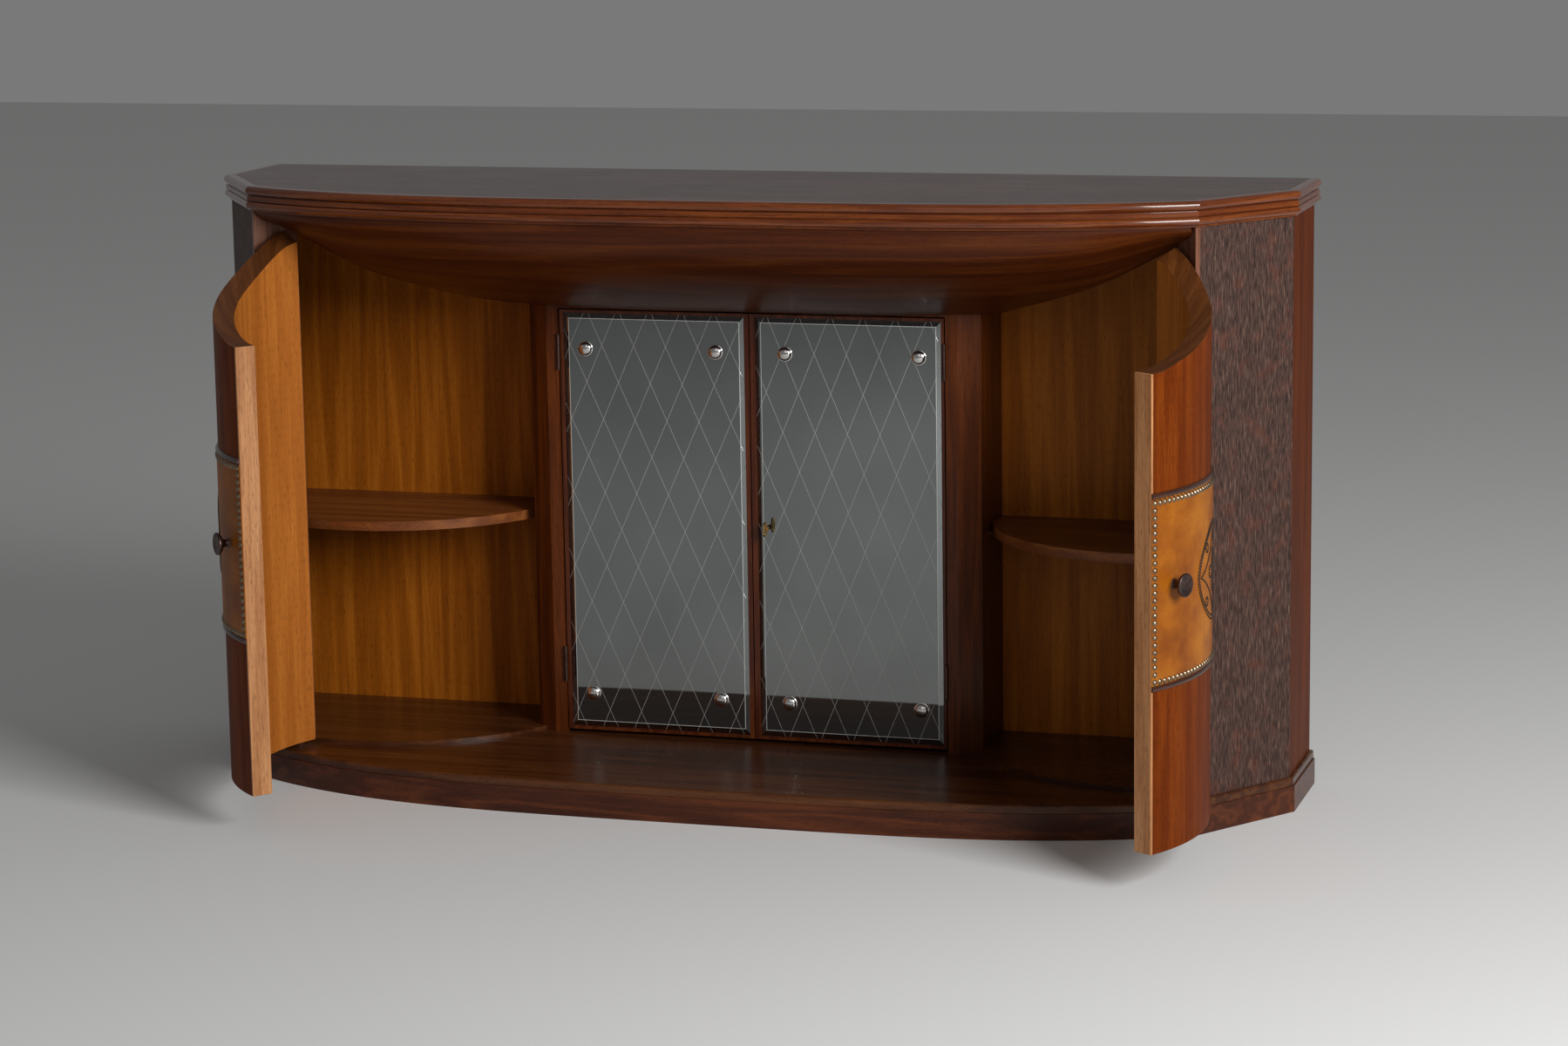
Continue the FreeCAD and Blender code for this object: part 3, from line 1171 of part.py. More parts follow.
def key_shape():
    """Shank, collar and bit, with a bow of three pierced lobes in the upright plane."""
    axis = Vector(0, 1, 0)
    tip = Vector(size.key_x, bolt_y + size.key_bit_width / 2, size.key_height)
    front = glass_front - size.key_projection
    shank_front = front + size.key_bow_depth * KEY_JOIN_SHARE
    shank = Part.makeCylinder(size.key_shank_radius, tip.y - shank_front, tip, -axis)
    collar = Part.makeCylinder(size.key_shank_radius * KEY_COLLAR_TIMES, size.key_collar_length,
                               Vector(size.key_x, front + size.key_bow_depth, size.key_height), axis)
    bit = Part.makeBox(size.key_bow_thickness, size.key_bit_width, size.key_bit_length,
                       Vector(size.key_x - size.key_bow_thickness / 2, tip.y - size.key_bit_width,
                              size.key_height - size.key_bit_length))
    lobe = (size.key_bow_height / 2 + size.key_lobe_hole * 2) / 3 + size.key_lobe_hole / 2
    side_shift = size.key_bow_height / 2 - lobe
    lobes = [(front + size.key_bow_depth - lobe, side_shift), (front + size.key_bow_depth - lobe, -side_shift),
             (front + lobe, 0.0)]
    left_face = size.key_x - size.key_bow_thickness / 2
    cross = Vector(1, 0, 0)
    shape = shank.fuse([collar, bit])
    for y, rise in lobes:
        shape = shape.fuse(Part.makeCylinder(lobe, size.key_bow_thickness,
                                             Vector(left_face, y, size.key_height + rise), cross))
    for y, rise in lobes:
        start = Vector(left_face - size.cut_overrun, y, size.key_height + rise)
        shape = shape.cut(Part.makeCylinder(size.key_lobe_hole, size.key_bow_thickness + 2 * size.cut_overrun,
                                            start, cross))
    return shape.removeSplitter()


KEY_JOIN_SHARE = 0.72
KEY_COLLAR_TIMES = 1.6
keep("key", feature("key", key_shape()))

# Checks, then one STEP file per piece
doc.recompute()
for piece in doc.Objects:
    state = " ".join(piece.State)
    if "Invalid" in state or "Error" in state:
        raise RuntimeError(f"{piece.Name}: {state}")
for label, piece in nodes.items():
    shape = piece.Shape
    if shape.isNull() or not shape.isValid() or not shape.Solids:
        raise RuntimeError(f"{label}: no valid solid")
    shape.exportStep(f"parts/{label}.step")
print("pieces written:", len(nodes))
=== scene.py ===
# %% [markdown]
# This scene dresses a bar console: a low cabinet with a bowed front, two curved doors that stand
# open, a hull-shaped valance over a recess, and two engraved mirror doors in the middle. The CAD
# model is loaded first and stays fixed. It tells where every piece is, and each visible piece
# made here rides on one of its bodies, so the doors still swing when the scene is done.
# %% Load the frame
import bmesh
import bpy
from math import asin, atan2, copysign, cos, degrees, dist, hypot, pi, radians, sin, tau
from mathutils import Matrix, Vector


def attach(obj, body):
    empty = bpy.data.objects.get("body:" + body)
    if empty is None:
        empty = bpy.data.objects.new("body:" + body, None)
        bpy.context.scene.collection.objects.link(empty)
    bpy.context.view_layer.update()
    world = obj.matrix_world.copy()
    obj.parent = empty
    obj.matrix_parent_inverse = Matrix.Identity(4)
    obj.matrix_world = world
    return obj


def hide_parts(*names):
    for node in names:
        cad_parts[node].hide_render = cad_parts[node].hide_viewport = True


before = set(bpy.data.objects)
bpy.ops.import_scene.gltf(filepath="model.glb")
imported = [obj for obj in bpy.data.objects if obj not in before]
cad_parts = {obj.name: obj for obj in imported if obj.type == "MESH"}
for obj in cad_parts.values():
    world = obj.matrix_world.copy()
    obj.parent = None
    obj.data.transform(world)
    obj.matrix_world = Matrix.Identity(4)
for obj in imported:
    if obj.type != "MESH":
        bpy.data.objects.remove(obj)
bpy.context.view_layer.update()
MM = 0.001
SIDES = {"left": -1, "right": 1}


def in_scene(name, data):
    """A new object that shows some data."""
    thing = bpy.data.objects.new(name, data)
    bpy.context.scene.collection.objects.link(thing)
    return thing


# %% [markdown]
# The camera comes first, because everything is judged through it. Its place, tilt and lens were
# worked out from the straight edges of the cabinet, so the picture's perspective is the real one.
# The lens is long, about 92 mm, and that keeps the two ends of the cabinet nearly parallel.
# %% Camera
CAMERA_PLACE = Vector((1.74055, -5.41123, 1.43735))
CAMERA_TURN, CAMERA_TILT, CAMERA_ROLL = (radians(angle) for angle in (17.141, 10.429, 0.875))
camera_data = bpy.data.cameras.new("photo_camera")
camera_data.lens = 91.664
camera_data.sensor_width = 36.0
camera = in_scene("photo_camera", camera_data)
flat = cos(CAMERA_TILT)
behind = Vector((sin(CAMERA_TURN) * flat, -cos(CAMERA_TURN) * flat, sin(CAMERA_TILT)))
level = Vector((cos(CAMERA_TURN), sin(CAMERA_TURN), 0.0))
down = (-behind).cross(level)
across = level * cos(CAMERA_ROLL) + down * sin(CAMERA_ROLL)
up = level * sin(CAMERA_ROLL) - down * cos(CAMERA_ROLL)
camera.matrix_world = Matrix.Translation(CAMERA_PLACE) @ Matrix((across, up, behind)).transposed().to_4x4()
bpy.context.scene.camera = camera
bpy.context.scene.view_settings.view_transform = "Standard"
print("camera at", tuple(round(v, 3) for v in CAMERA_PLACE))

# %% [markdown]
# A few helpers do most of the shader work. One turns an sRGB hex colour into the linear values
# that Blender mixes in, one adds a node and fills its sockets, and the rest stand for the nodes
# that come back in every finish: noise, a mask cut from it, and bumps.
# %% Colour and node helpers


def hex_colour(code):
    """Linear RGBA for an sRGB hex colour such as #8a5a2b."""
    values = [int(code[i:i + 2], 16) / 255 for i in (1, 3, 5)]
    return [*(v / 12.92 if v <= 0.04045 else ((v + 0.055) / 1.055) ** 2.4 for v in values), 1.0]


def feed(tree, node, sockets):
    """Gives each socket a value, or the output that feeds it."""
    for key, value in sockets.items():
        if isinstance(value, bpy.types.NodeSocket):
            tree.links.new(value, node.inputs[key])
        else:
            node.inputs[key].default_value = value


def add(tree, kind, sockets=None, **settings):
    """Adds one node with its settings and its sockets."""
    node = tree.nodes.new(kind)
    for name, value in settings.items():
        setattr(node, name, value)
    feed(tree, node, sockets or {})
    return node


def new_material(name, source="Object"):
    """A material, its node tree, its Principled shader and the place that its patterns follow."""
    material = bpy.data.materials.new(name)
    material.use_nodes = True
    tree = material.node_tree
    return material, tree, tree.nodes["Principled BSDF"], add(tree, "ShaderNodeTexCoord").outputs[source]


def mix(tree, factor, a, b, blend="MIX"):
    """Mixes two colours, each an output or a hex colour."""
    a, b = (hex_colour(colour) if isinstance(colour, str) else colour for colour in (a, b))
    node = add(tree, "ShaderNodeMix", {0: factor, 6: a, 7: b}, data_type="RGBA", blend_type=blend)
    return node.outputs[2]


def ramp(tree, value, stops):
    """A colour ramp with stops of (place, hex colour or grey level)."""
    node = add(tree, "ShaderNodeValToRGB", {0: value})
    for step, (place, colour) in enumerate(stops):
        element = node.color_ramp.elements[step] if step < 2 else node.color_ramp.elements.new(place)
        element.position = place
        element.color = hex_colour(colour) if isinstance(colour, str) else (colour, colour, colour, 1.0)
    return node.outputs[0]


def calc(tree, operation, a, b=0.0, c=0.0):
    """One Math node."""
    return add(tree, "ShaderNodeMath", {0: a, 1: b, 2: c}, operation=operation).outputs[0]


def noise(tree, place, scale, detail, roughness=0.5, distortion=0.0):
    """Cloudy noise as one number; more detail adds finer clouds inside the large ones."""
    look = {"Scale": scale, "Detail": detail, "Roughness": roughness, "Distortion": distortion}
    return add(tree, "ShaderNodeTexNoise", {"Vector": place, **look}).outputs[0]


def mask(tree, value, low, high, amount):
    """Climbs from 0 where a value is `low` to `amount` where it is `high`."""
    return calc(tree, "MULTIPLY", ramp(tree, value, [(low, 0.0), (high, 1.0)]), amount)


def bump(tree, height, strength, depth, **settings):
    """Tilts the light as a relief of this depth in metres would."""
    sockets = {"Height": height, "Strength": strength, "Distance": depth}
    return add(tree, "ShaderNodeBump", sockets, **settings).outputs[0]


# %% [markdown]
# Nearly everything on the cabinet is veneer: thin sheets of real wood, glued down, stained and
# French polished. Three things make polished wood read as wood. The growth rings give broad bands
# that run with the grain, the fibres give fine streaks in the same direction, and the open pores
# give short dark dashes that are slightly sunk. One function builds all three from stretched
# noise, and each finish of the cabinet then only chooses its colours, its grain direction and its
# gloss. The direction is a scale: a pattern that is squeezed across the grain and stretched along it.
# %% Wood
FIBRE_MM, PORE_MM, PORE_SHADE, GRAIN_DEPTH, RINGS_IN_BAND = 1.6, 0.8, 0.5, 0.0004, 9.0


def wood(name, colours, along, source="Object", figure_mm=30.0, figure=0.35, rings=0.3, roughness=0.32,
         coat=0.1, coat_roughness=0.18, specular=0.2, seed=0.0, wear=0.15, mottle=0.2):
    """Polished wood. `along` is the grain's axis, and colours are dark, middle and light."""
    material, tree, shader, place = new_material(name, source)
    elsewhere = {"Vector": place, "Location": (seed, seed * 0.7, seed * 0.3)}
    shift = add(tree, "ShaderNodeMapping", elsewhere).outputs[0]

    def stretched(across_mm, ratio):
        scale = [1000 / across_mm] * 3
        scale["XYZ".index(along)] /= ratio
        return add(tree, "ShaderNodeMapping", {"Vector": shift, "Scale": scale}).outputs[0]

    bands = noise(tree, stretched(figure_mm, 20.0), 1.0, 2.0, distortion=0.12)
    ring = calc(tree, "PINGPONG", calc(tree, "MULTIPLY", bands, RINGS_IN_BAND), 1.0)
    ring = calc(tree, "MULTIPLY", calc(tree, "SMOOTH_MAX", ring, 0.15, 0.2), rings)
    fibres = noise(tree, stretched(FIBRE_MM, 45.0), 1.0, 2.0, 0.6)
    pore = ramp(tree, noise(tree, stretched(PORE_MM, 16.0), 1.0, 1.0), [(0.30, 0.0), (0.42, 1.0)])
    patches = noise(tree, stretched(180.0, 3.0), 1.0, 3.0)
    grain = calc(tree, "ADD", ring, calc(tree, "MULTIPLY", fibres, 1.0 - rings))
    dark, middle, light = colours
    colour = ramp(tree, grain, [(0.22, dark), (0.50, middle), (0.80, light)])
    colour = mix(tree, figure * 0.5, colour, ramp(tree, bands, [(0.30, dark), (0.72, light)]))
    colour = mix(tree, mask(tree, patches, 0.35, 0.68, mottle), colour, dark)
    shade = calc(tree, "MULTIPLY_ADD", pore, PORE_SHADE, 1.0 - PORE_SHADE)
    shaded = add(tree, "ShaderNodeCombineXYZ", {0: shade, 1: shade, 2: shade}).outputs[0]
    scuffs = noise(tree, place, 9.0, 6.0, 0.7)
    gloss = calc(tree, "MULTIPLY_ADD", scuffs, wear, roughness - wear * 0.5)
    height = calc(tree, "MULTIPLY_ADD", fibres, 0.35, pore)
    feed(tree, shader, {"Base Color": mix(tree, 1.0, colour, shaded, "MULTIPLY"),
                        "Roughness": calc(tree, "MULTIPLY_ADD", fibres, 0.06, gloss),
                        "Normal": bump(tree, height, 0.10, GRAIN_DEPTH), "Coat Weight": coat,
                        "Coat Roughness": coat_roughness, "Specular IOR Level": specular})
    return material


mahogany_across = wood("polished_mahogany_across", ("#241009", "#3f1c0d", "#5b2e15"), "X", figure_mm=42,
                       rings=0.4, roughness=0.24, coat=0.25)
mahogany_up = wood("polished_mahogany_upright", ("#3d1606", "#522309", "#693110"), "Z", figure_mm=46,
                   figure=0.3, seed=3.1, mottle=0.15, coat=0.0, specular=0.04, roughness=0.45)
hull_wood = wood("polished_mahogany_hull", ("#301003", "#491d05", "#60300e"), "X", "UV", figure_mm=44,
                 rings=0.35, seed=5.0, roughness=0.34, coat=0.05, specular=0.15, figure=0.3, mottle=0.12)
moulding_wood = wood("polished_mahogany_moulding", ("#461b07", "#5f2a0a", "#7a3e12"), "X", "UV",
                     figure_mm=20, seed=1.3, roughness=0.2, coat=0.7, coat_roughness=0.07, figure=0.25,
                     mottle=0.08)
door_outside = wood("polished_mahogany_door", ("#481800", "#612704", "#79390a"), "Y", "UV", figure_mm=34,
                    seed=2.0, mottle=0.15, coat=0.0, specular=0.04, roughness=0.42)
door_inside = wood("walnut_veneer_door", ("#8a4b17", "#a45d20", "#ba732e"), "Y", "UV", figure_mm=60,
                   seed=7.0, roughness=0.42, coat=0.05, mottle=0.15)
walnut_back = wood("walnut_veneer_back", ("#7d4109", "#9b5410", "#b3691c"), "Z", figure_mm=40, rings=0.4,
                   figure=0.3, seed=9.0, roughness=0.42, coat=0.0, specular=0.12, mottle=0.15)
shelf_wood = wood("walnut_veneer_shelf", ("#542a11", "#76401b", "#925728"), "X", figure_mm=50,
                  rings=0.35, seed=4.0, roughness=0.40, coat=0.08, figure=0.3)
deck_wood = wood("polished_dark_deck", ("#2b150a", "#482511", "#60381c"), "X", figure_mm=38, rings=0.4,
                 seed=6.0, roughness=0.26, coat=0.15, wear=0.25)
plinth_wood = wood("polished_mahogany_plinth", ("#2b1106", "#48200d", "#633216"), "X", figure_mm=34,
                   rings=0.4, seed=8.0, roughness=0.34, coat=0.12, wear=0.25)
frame_wood = wood("polished_dark_mahogany", ("#301305", "#512407", "#703610"), "Z", figure_mm=28,
                  rings=0.35, seed=2.4, specular=0.15)
stile_wood = wood("polished_red_stile", ("#2e0f05", "#50210c", "#703815"), "Z", figure_mm=20, seed=3.7,
                  figure=0.3, roughness=0.26, coat=0.2)
post_wood = wood("polished_light_post", ("#4d2c1c", "#704937", "#875c4a"), "Z", figure_mm=24, seed=6.4,
                 roughness=0.36, figure=0.5)
top_edge_wood = wood("polished_top_edge", ("#40200c", "#5b3113", "#73431e"), "Y", "UV", seed=4.4,
                     roughness=0.38, coat=0.05, figure=0.5)
edge_wood = wood("polished_light_edging", ("#8a5631", "#ad7547", "#c59062"), "Y", "UV", figure_mm=24,
                 seed=5.5, roughness=0.38, figure=0.5)
print("woods made")

# %% [markdown]
# The slanted ends are covered with a combed panel: a veneer that was scraped upright with a
# toothed tool before it was stained, so it has short, uneven grooves about 1.5 mm apart.
# The ridges look greyish purple and carry a pale painted highlight on their crests, where they
# catch the light, and the bare wood shows red in places.
# %% Combed panels
COMB_MM, COMB_LENGTH_MM, COMB_DEPTH = 1.5, 12.0, 0.0008


def combed_panel():
    material, tree, shader, place = new_material("combed_stained_veneer")
    scale = (1 / (COMB_MM * MM), 1 / (COMB_MM * MM), 1 / (COMB_LENGTH_MM * MM))
    combed = add(tree, "ShaderNodeMapping", {"Vector": place, "Scale": scale}).outputs[0]
    grooves = noise(tree, combed, 0.8, 2.0, distortion=0.4)
    ridges = ramp(tree, grooves, [(0.38, 0.0), (0.60, 1.0)])
    patches = noise(tree, place, 34.0, 4.0, 0.6)
    colour = mix(tree, ridges, "#281712", "#49332a")
    colour = mix(tree, mask(tree, patches, 0.52, 0.70, 0.4), colour, "#5e2d1d")
    # A pale painted highlight along the crests of the ridges
    colour = mix(tree, mask(tree, grooves, 0.60, 0.74, 0.45), colour, "#755f53")
    feed(tree, shader, {"Base Color": colour, "Roughness": 0.5, "Specular IOR Level": 0.25,
                        "Normal": bump(tree, ridges, 0.6, COMB_DEPTH)})
    return material


combed = combed_panel()

# %% [markdown]
# The band on each curved door is vegetable-tanned leather, dyed a mustard tan and waxed. It has a
# fine pebble from the hide's own pores, cloudy patches where the wax took differently, and darker
# streaks where hands and nails have marked it. Voronoi cells about a millimetre across make the
# pebble, a little coarser than life so that they show.
# %% Leather, metals and mirror
PEBBLE_MM = 1.1


def leather():
    material, tree, shader, place = new_material("waxed_tan_leather", "UV")
    clouds = noise(tree, place, 13.0, 5.0, 0.62)
    streaks = noise(tree, place, 42.0, 3.0)
    colour = ramp(tree, clouds, [(0.30, "#6c3303"), (0.50, "#884a09"), (0.72, "#a26214")])
    colour = mix(tree, mask(tree, streaks, 0.55, 0.75, 0.35), colour, "#6f370b")
    pebble = {"Vector": place, "Scale": 1 / (PEBBLE_MM * MM)}
    cells = add(tree, "ShaderNodeTexVoronoi", pebble, feature="SMOOTH_F1").outputs[0]
    relief = add(tree, "ShaderNodeBump", {"Height": clouds, "Strength": 0.25, "Distance": 0.002,
                                          "Normal": bump(tree, cells, 0.22, 0.0003)}).outputs[0]
    feed(tree, shader, {"Base Color": colour, "Specular IOR Level": 0.15, "Normal": relief,
                        "Roughness": calc(tree, "MULTIPLY_ADD", clouds, 0.2, 0.32)})
    return material


def metal(name, colour, tarnish, roughness, spots=0.4, scale=140.0):
    """A cast or spun metal with patches of tarnish."""
    material, tree, shader, place = new_material(name)
    clouds = noise(tree, place, scale, 4.0, 0.6)
    dirt = mask(tree, clouds, 0.45, 0.68, spots)
    feed(tree, shader, {"Base Color": mix(tree, dirt, colour, tarnish), "Metallic": 1.0,
                        "Roughness": calc(tree, "MULTIPLY_ADD", dirt, 0.3, roughness),
                        "Normal": bump(tree, clouds, 0.06, 0.0004)})
    return material


waxed_leather = leather()
nail_metal = metal("antiqued_nail_brass", "#8f7a63", "#3d2f24", 0.30, spots=0.7, scale=260.0)
bronze = metal("patinated_bronze", "#5a4843", "#2b201d", 0.34, spots=0.6)
chrome = metal("polished_chrome", "#d6d4d2", "#8c8a86", 0.16, spots=0.2)
brass = metal("aged_brass", "#d2ad66", "#7d5f35", 0.2, spots=0.35)
steel = metal("plain_lock_steel", "#8f8f8c", "#55524e", 0.35)


def thread():
    """Waxed linen thread: matt, nearly black, with the slant of its twist painted as diagonal bands of light
    and shade.
    """
    material, tree, shader, place = new_material("waxed_linen_thread")
    sockets = {"Vector": place, "Scale": 420.0, "Distortion": 2.0, "Detail": 1.0}
    # The diagonal bands are painted shade and highlight of the twisted strands
    painted_twist_shade = add(tree, "ShaderNodeTexWave", sockets, bands_direction="DIAGONAL").outputs[1]
    feed(tree, shader, {"Base Color": mix(tree, painted_twist_shade, "#0e0906", "#2a1d15"), "Roughness": 0.75})
    return material


linen_thread = thread()

# %% [markdown]
# The mirrors are silvered plate glass with a bevel round the edge. A wheel has engraved a net of
# long diamonds into the face, about 49 mm wide and 116 mm tall. Two families of slanted lines make
# the net: a line is drawn wherever x divided by the width, plus or minus z divided by the height,
# is a whole number. The cut lines are matt and pale, the rest is smooth and slightly grey with age.
# A thin pale line is painted all round where the bevel meets the flat face, as the arris's
# glint, and it is matt like the cut lines.
# %% Engraved mirror
NET_LINE_MM, PAINTED_GLINT_MM, BEVEL_MM = 0.6, 0.9, 8.0


def engraved_mirror(name, side, crossing_mm, width_mm, height_mm):
    material, tree, shader, place = new_material(name)
    parts = add(tree, "ShaderNodeSeparateXYZ", {0: place})
    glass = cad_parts[f"{side}_mirror_glass"]
    corners = [glass.matrix_world @ Vector(corner) for corner in glass.bound_box]
    nets, insets = [], []
    for axis, crossing, pitch in ((0, crossing_mm[0], width_mm), (2, crossing_mm[1], height_mm)):
        along = parts.outputs[axis]
        nets.append(calc(tree, "DIVIDE", calc(tree, "SUBTRACT", along, crossing * MM), pitch * MM))
        low, high = min(c[axis] for c in corners), max(c[axis] for c in corners)
        insets += [calc(tree, "SUBTRACT", along, low), calc(tree, "SUBTRACT", high, along)]
    lines = None
    for sign in (1.0, -1.0):
        away = calc(tree, "PINGPONG", calc(tree, "MULTIPLY_ADD", nets[1], sign, nets[0]), 0.5)
        cut = calc(tree, "LESS_THAN", away, NET_LINE_MM / width_mm / 2)
        lines = cut if lines is None else calc(tree, "MAXIMUM", lines, cut)
    inset = insets[0]
    for other in insets[1:]:
        inset = calc(tree, "MINIMUM", inset, other)
    from_arris = calc(tree, "ABSOLUTE", calc(tree, "SUBTRACT", inset, BEVEL_MM * MM))
    # A painted highlight: a thin pale line along the arris, where the bevel would glint
    painted_arris_glint = calc(tree, "LESS_THAN", from_arris, PAINTED_GLINT_MM * MM / 2)
    silver = ramp(tree, noise(tree, place, 5.0, 3.0), [(0.3, "#7e8180"), (0.7, "#8b8e8d")])
    engraved = mix(tree, calc(tree, "MULTIPLY", lines, 0.6), silver, "#d6d8d6")
    lines = calc(tree, "MAXIMUM", lines, painted_arris_glint)
    # dfe5e0 is the colour of the painted glint on the arris
    feed(tree, shader, {"Base Color": mix(tree, painted_arris_glint, engraved, "#dfe5e0"),
                        "Roughness": calc(tree, "MULTIPLY_ADD", lines, 0.42, 0.03),
                        "Metallic": calc(tree, "MULTIPLY_ADD", lines, -0.55, 1.0),
                        "Normal": bump(tree, lines, 0.3, 0.0004, invert=True)})
    return material


mirror_finish = {"left": engraved_mirror("engraved_mirror_left", "left", (-55.5, 580.5), 49.4, 110.0),
                 "right": engraved_mirror("engraved_mirror_right", "right", (72.8, 573.0), 48.9, 116.0)}
print("finishes made:", len(bpy.data.materials))

# %% [markdown]
# The boards that are flat and square are right as the CAD made them, so they only get a finish.
# A finish is matched to a node by the way the real piece is veneered: upright grain on doors and
# ends, grain running across on the top, the deck and the plinth.
# %% Finishes for the CAD pieces
NODE_FINISH = [("plinth", plinth_wood), ("base_board", deck_wood), ("floor_panel", deck_wood),
               ("top_board", mahogany_across), ("diagonal_panel", combed), ("side_panel", mahogany_up),
               ("corner_post", post_wood), ("partition", frame_wood), ("pilaster", frame_wood),
               ("header_rail", frame_wood), ("back_panel", walnut_back), ("shelf_pins", brass),
               ("shelf", shelf_wood), ("leaves", bronze), ("hinge_pins", bronze),
               ("door_board", stile_wood), ("lock", steel), ("key", brass)]
for name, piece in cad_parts.items():
    finish = next((material for word, material in NODE_FINISH if word in name), None)
    if "mirror_glass" in name:
        finish = mirror_finish[name.split("_")[0]]
    if finish:
        piece.data.materials.clear()
        piece.data.materials.append(finish)
print("nodes:", len(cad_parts))

# %% [markdown]
# The curved pieces are made again here as smooth, dense meshes, since the CAD's mesh of a bow or a
# hull shows its facets in polished wood. All of them come from a few rules: the outline of the
# cabinet in plan, the section of its moulding, and the arc of its doors. The same numbers drive the
# CAD model, so the new surfaces lie on the old ones to within a fraction of a millimetre.
# %% Outline and mesh helpers
HALF_WIDTH, BACK_Y, CORNER_X, CORNER_Y, BOW_SWEEP, BOW_POWER = 800.0, 216.0, 694.0, -111.0, 105.0, 3.86
SIDE_DEPTH, CORNER_RUN, CORNER_DEPTH = 168.0, 106.0, 159.0
CARCASS_TOP, TOTAL_HEIGHT = 846.0, 882.0


def bow_front(x):
    """Depth of the bowed front at a distance from the centre line, in millimetres."""
    return CORNER_Y - BOW_SWEEP * (1 - abs(x / CORNER_X) ** BOW_POWER)


diagonal_normal = Vector((CORNER_DEPTH, -CORNER_RUN)).normalized()
bow_normal = Vector((BOW_SWEEP * BOW_POWER / CORNER_X, -1)).normalized()
# Corners of the plan with the normals of the edges that meet there: A bow, B diagonal, C back
CORNERS = {"A": (Vector((CORNER_X, CORNER_Y)), diagonal_normal, bow_normal),
           "B": (Vector((HALF_WIDTH, BACK_Y - SIDE_DEPTH)), Vector((1, 0)), diagonal_normal),
           "C": (Vector((HALF_WIDTH, BACK_Y)), Vector((1, 0)), Vector((1, 0)))}


def outline_corner(name, offset, side):
    """A corner of the plan moved outwards, square to both of its edges."""
    place, first, second = CORNERS[name]
    moved = place + (first + second) * (offset / (1 + first.dot(second)))
    return Vector((moved.x * side, moved.y))


def bow_point(share, offset):
    """A point of the bow moved outwards; at the ends it meets the mitred corners."""
    if abs(share) == 1:
        return outline_corner("A", offset, share)
    slope = BOW_SWEEP * BOW_POWER / CORNER_X * abs(share) ** (BOW_POWER - 1)
    normal = Vector((copysign(slope, share), -1)).normalized()
    x = share * CORNER_X
    return Vector((x, bow_front(x))) + normal * offset


def metres(points):
    return [tuple(value * MM for value in point) for point in points]


def place_piece(name, mesh, body, replaced=()):
    """Puts a mesh in the scene as a piece that rides on a body, in place of some CAD nodes."""
    piece = in_scene(name, mesh)
    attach(piece, body)
    if replaced:
        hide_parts(*replaced)
    return piece


def mesh_piece(name, points, faces, materials, uvs, body, replaced, sharp=None, face_slots=None):
    """A smooth piece from points in millimetres. uvs are per vertex, in metres; sharp is in degrees."""
    mesh = bpy.data.meshes.new(name)
    mesh.from_pydata(metres(points), [], faces)
    for entry in materials:
        mesh.materials.append(entry)
    layer = mesh.uv_layers.new(name="UVMap")
    for loop in mesh.loops:
        layer.data[loop.index].uv = uvs[loop.vertex_index]
    mesh.polygons.foreach_set("use_smooth", [True] * len(mesh.polygons))
    if face_slots:
        mesh.polygons.foreach_set("material_index", face_slots)
    mesh.update()
    if sharp:
        mesh.set_sharp_from_angle(angle=radians(sharp))
    return place_piece(name, mesh, body, replaced)


def run_lengths(line):
    """How far along a line of points each of them lies."""
    runs = [0.0]
    for a, b in zip(line, line[1:]):
        runs.append(runs[-1] + dist(a, b))
    return runs


def grid_faces(rows, columns, closed_rows=False, closed_columns=False, start=0, flipped=False):
    """Quads between neighbouring rows and columns of points that are stored row by row."""
    faces = []
    for r in range(rows if closed_rows else rows - 1):
        for c in range(columns if closed_columns else columns - 1):
            a, b = start + r * columns + c, start + r * columns + (c + 1) % columns
            d, e = start + (r + 1) % rows * columns + c, start + (r + 1) % rows * columns + (c + 1) % columns
            faces.append((a, d, e, b) if flipped else (a, b, e, d))
    return faces


def swept_faces(stations, count, start=0, flipped=False):
    """Faces of a section of `count` points that is carried through stations, closed at both ends."""
    stop = start + (stations - 1) * count
    ends = [tuple(range(start, start + count)), tuple(reversed(range(stop, stop + count)))]
    if not flipped:
        ends = [tuple(reversed(end)) for end in ends]
    return grid_faces(stations, count, closed_columns=True, start=start, flipped=flipped) + ends


def ordered(hand, faces):
    """Mirroring turns faces inside out, so the left side's are turned back."""
    return [tuple(reversed(face)) for face in faces] if SIDES[hand] < 0 else faces


def sheet_piece(name, rows, columns, rule, materials, body, replaced, hand="right", sharp=None,
                slots=(0, 0, 0)):
    """A thick sheet. rule(skin, row, column) gives a point and its uv, on skin 0 outside or 1 inside.
    slots are the material slots of the outer skin, the inner skin and the rim that joins them."""
    width, last = columns + 1, rows * (columns + 1)
    count = last + width
    points, uvs = zip(*(rule(skin, r, c) for skin in (0, 1) for r in range(rows + 1) for c in range(width)))
    outer = grid_faces(rows + 1, width, flipped=True)
    inner = grid_faces(rows + 1, width, start=count)
    rim = []
    for c in range(columns):
        rim.append((c, c + 1, count + c + 1, count + c))
        rim.append((last + c, count + last + c, count + last + c + 1, last + c + 1))
    for a in range(0, last, width):
        rim.append((a, count + a, count + a + width, a + width))
        rim.append((a + columns, a + width + columns, count + a + width + columns, count + a + columns))
    face_slots = [slot for slot, part in zip(slots, (outer, inner, rim)) for _ in part]
    return mesh_piece(name, points, ordered(hand, outer + inner + rim), materials, uvs, body, [replaced],
                      sharp, face_slots)


def soften(piece, width_mm):
    """Rounds the sharp edges a little, as sanding does, and keeps broad faces flat."""
    bevel = piece.modifiers.new("worn_edges", "BEVEL")
    bevel.width = width_mm * MM
    bevel.segments = 2
    bevel.limit_method = "ANGLE"
    bevel.angle_limit = radians(35)
    bevel.harden_normals = True


print("the bow is", round(bow_front(0) - CORNER_Y), "mm proud of the corners")

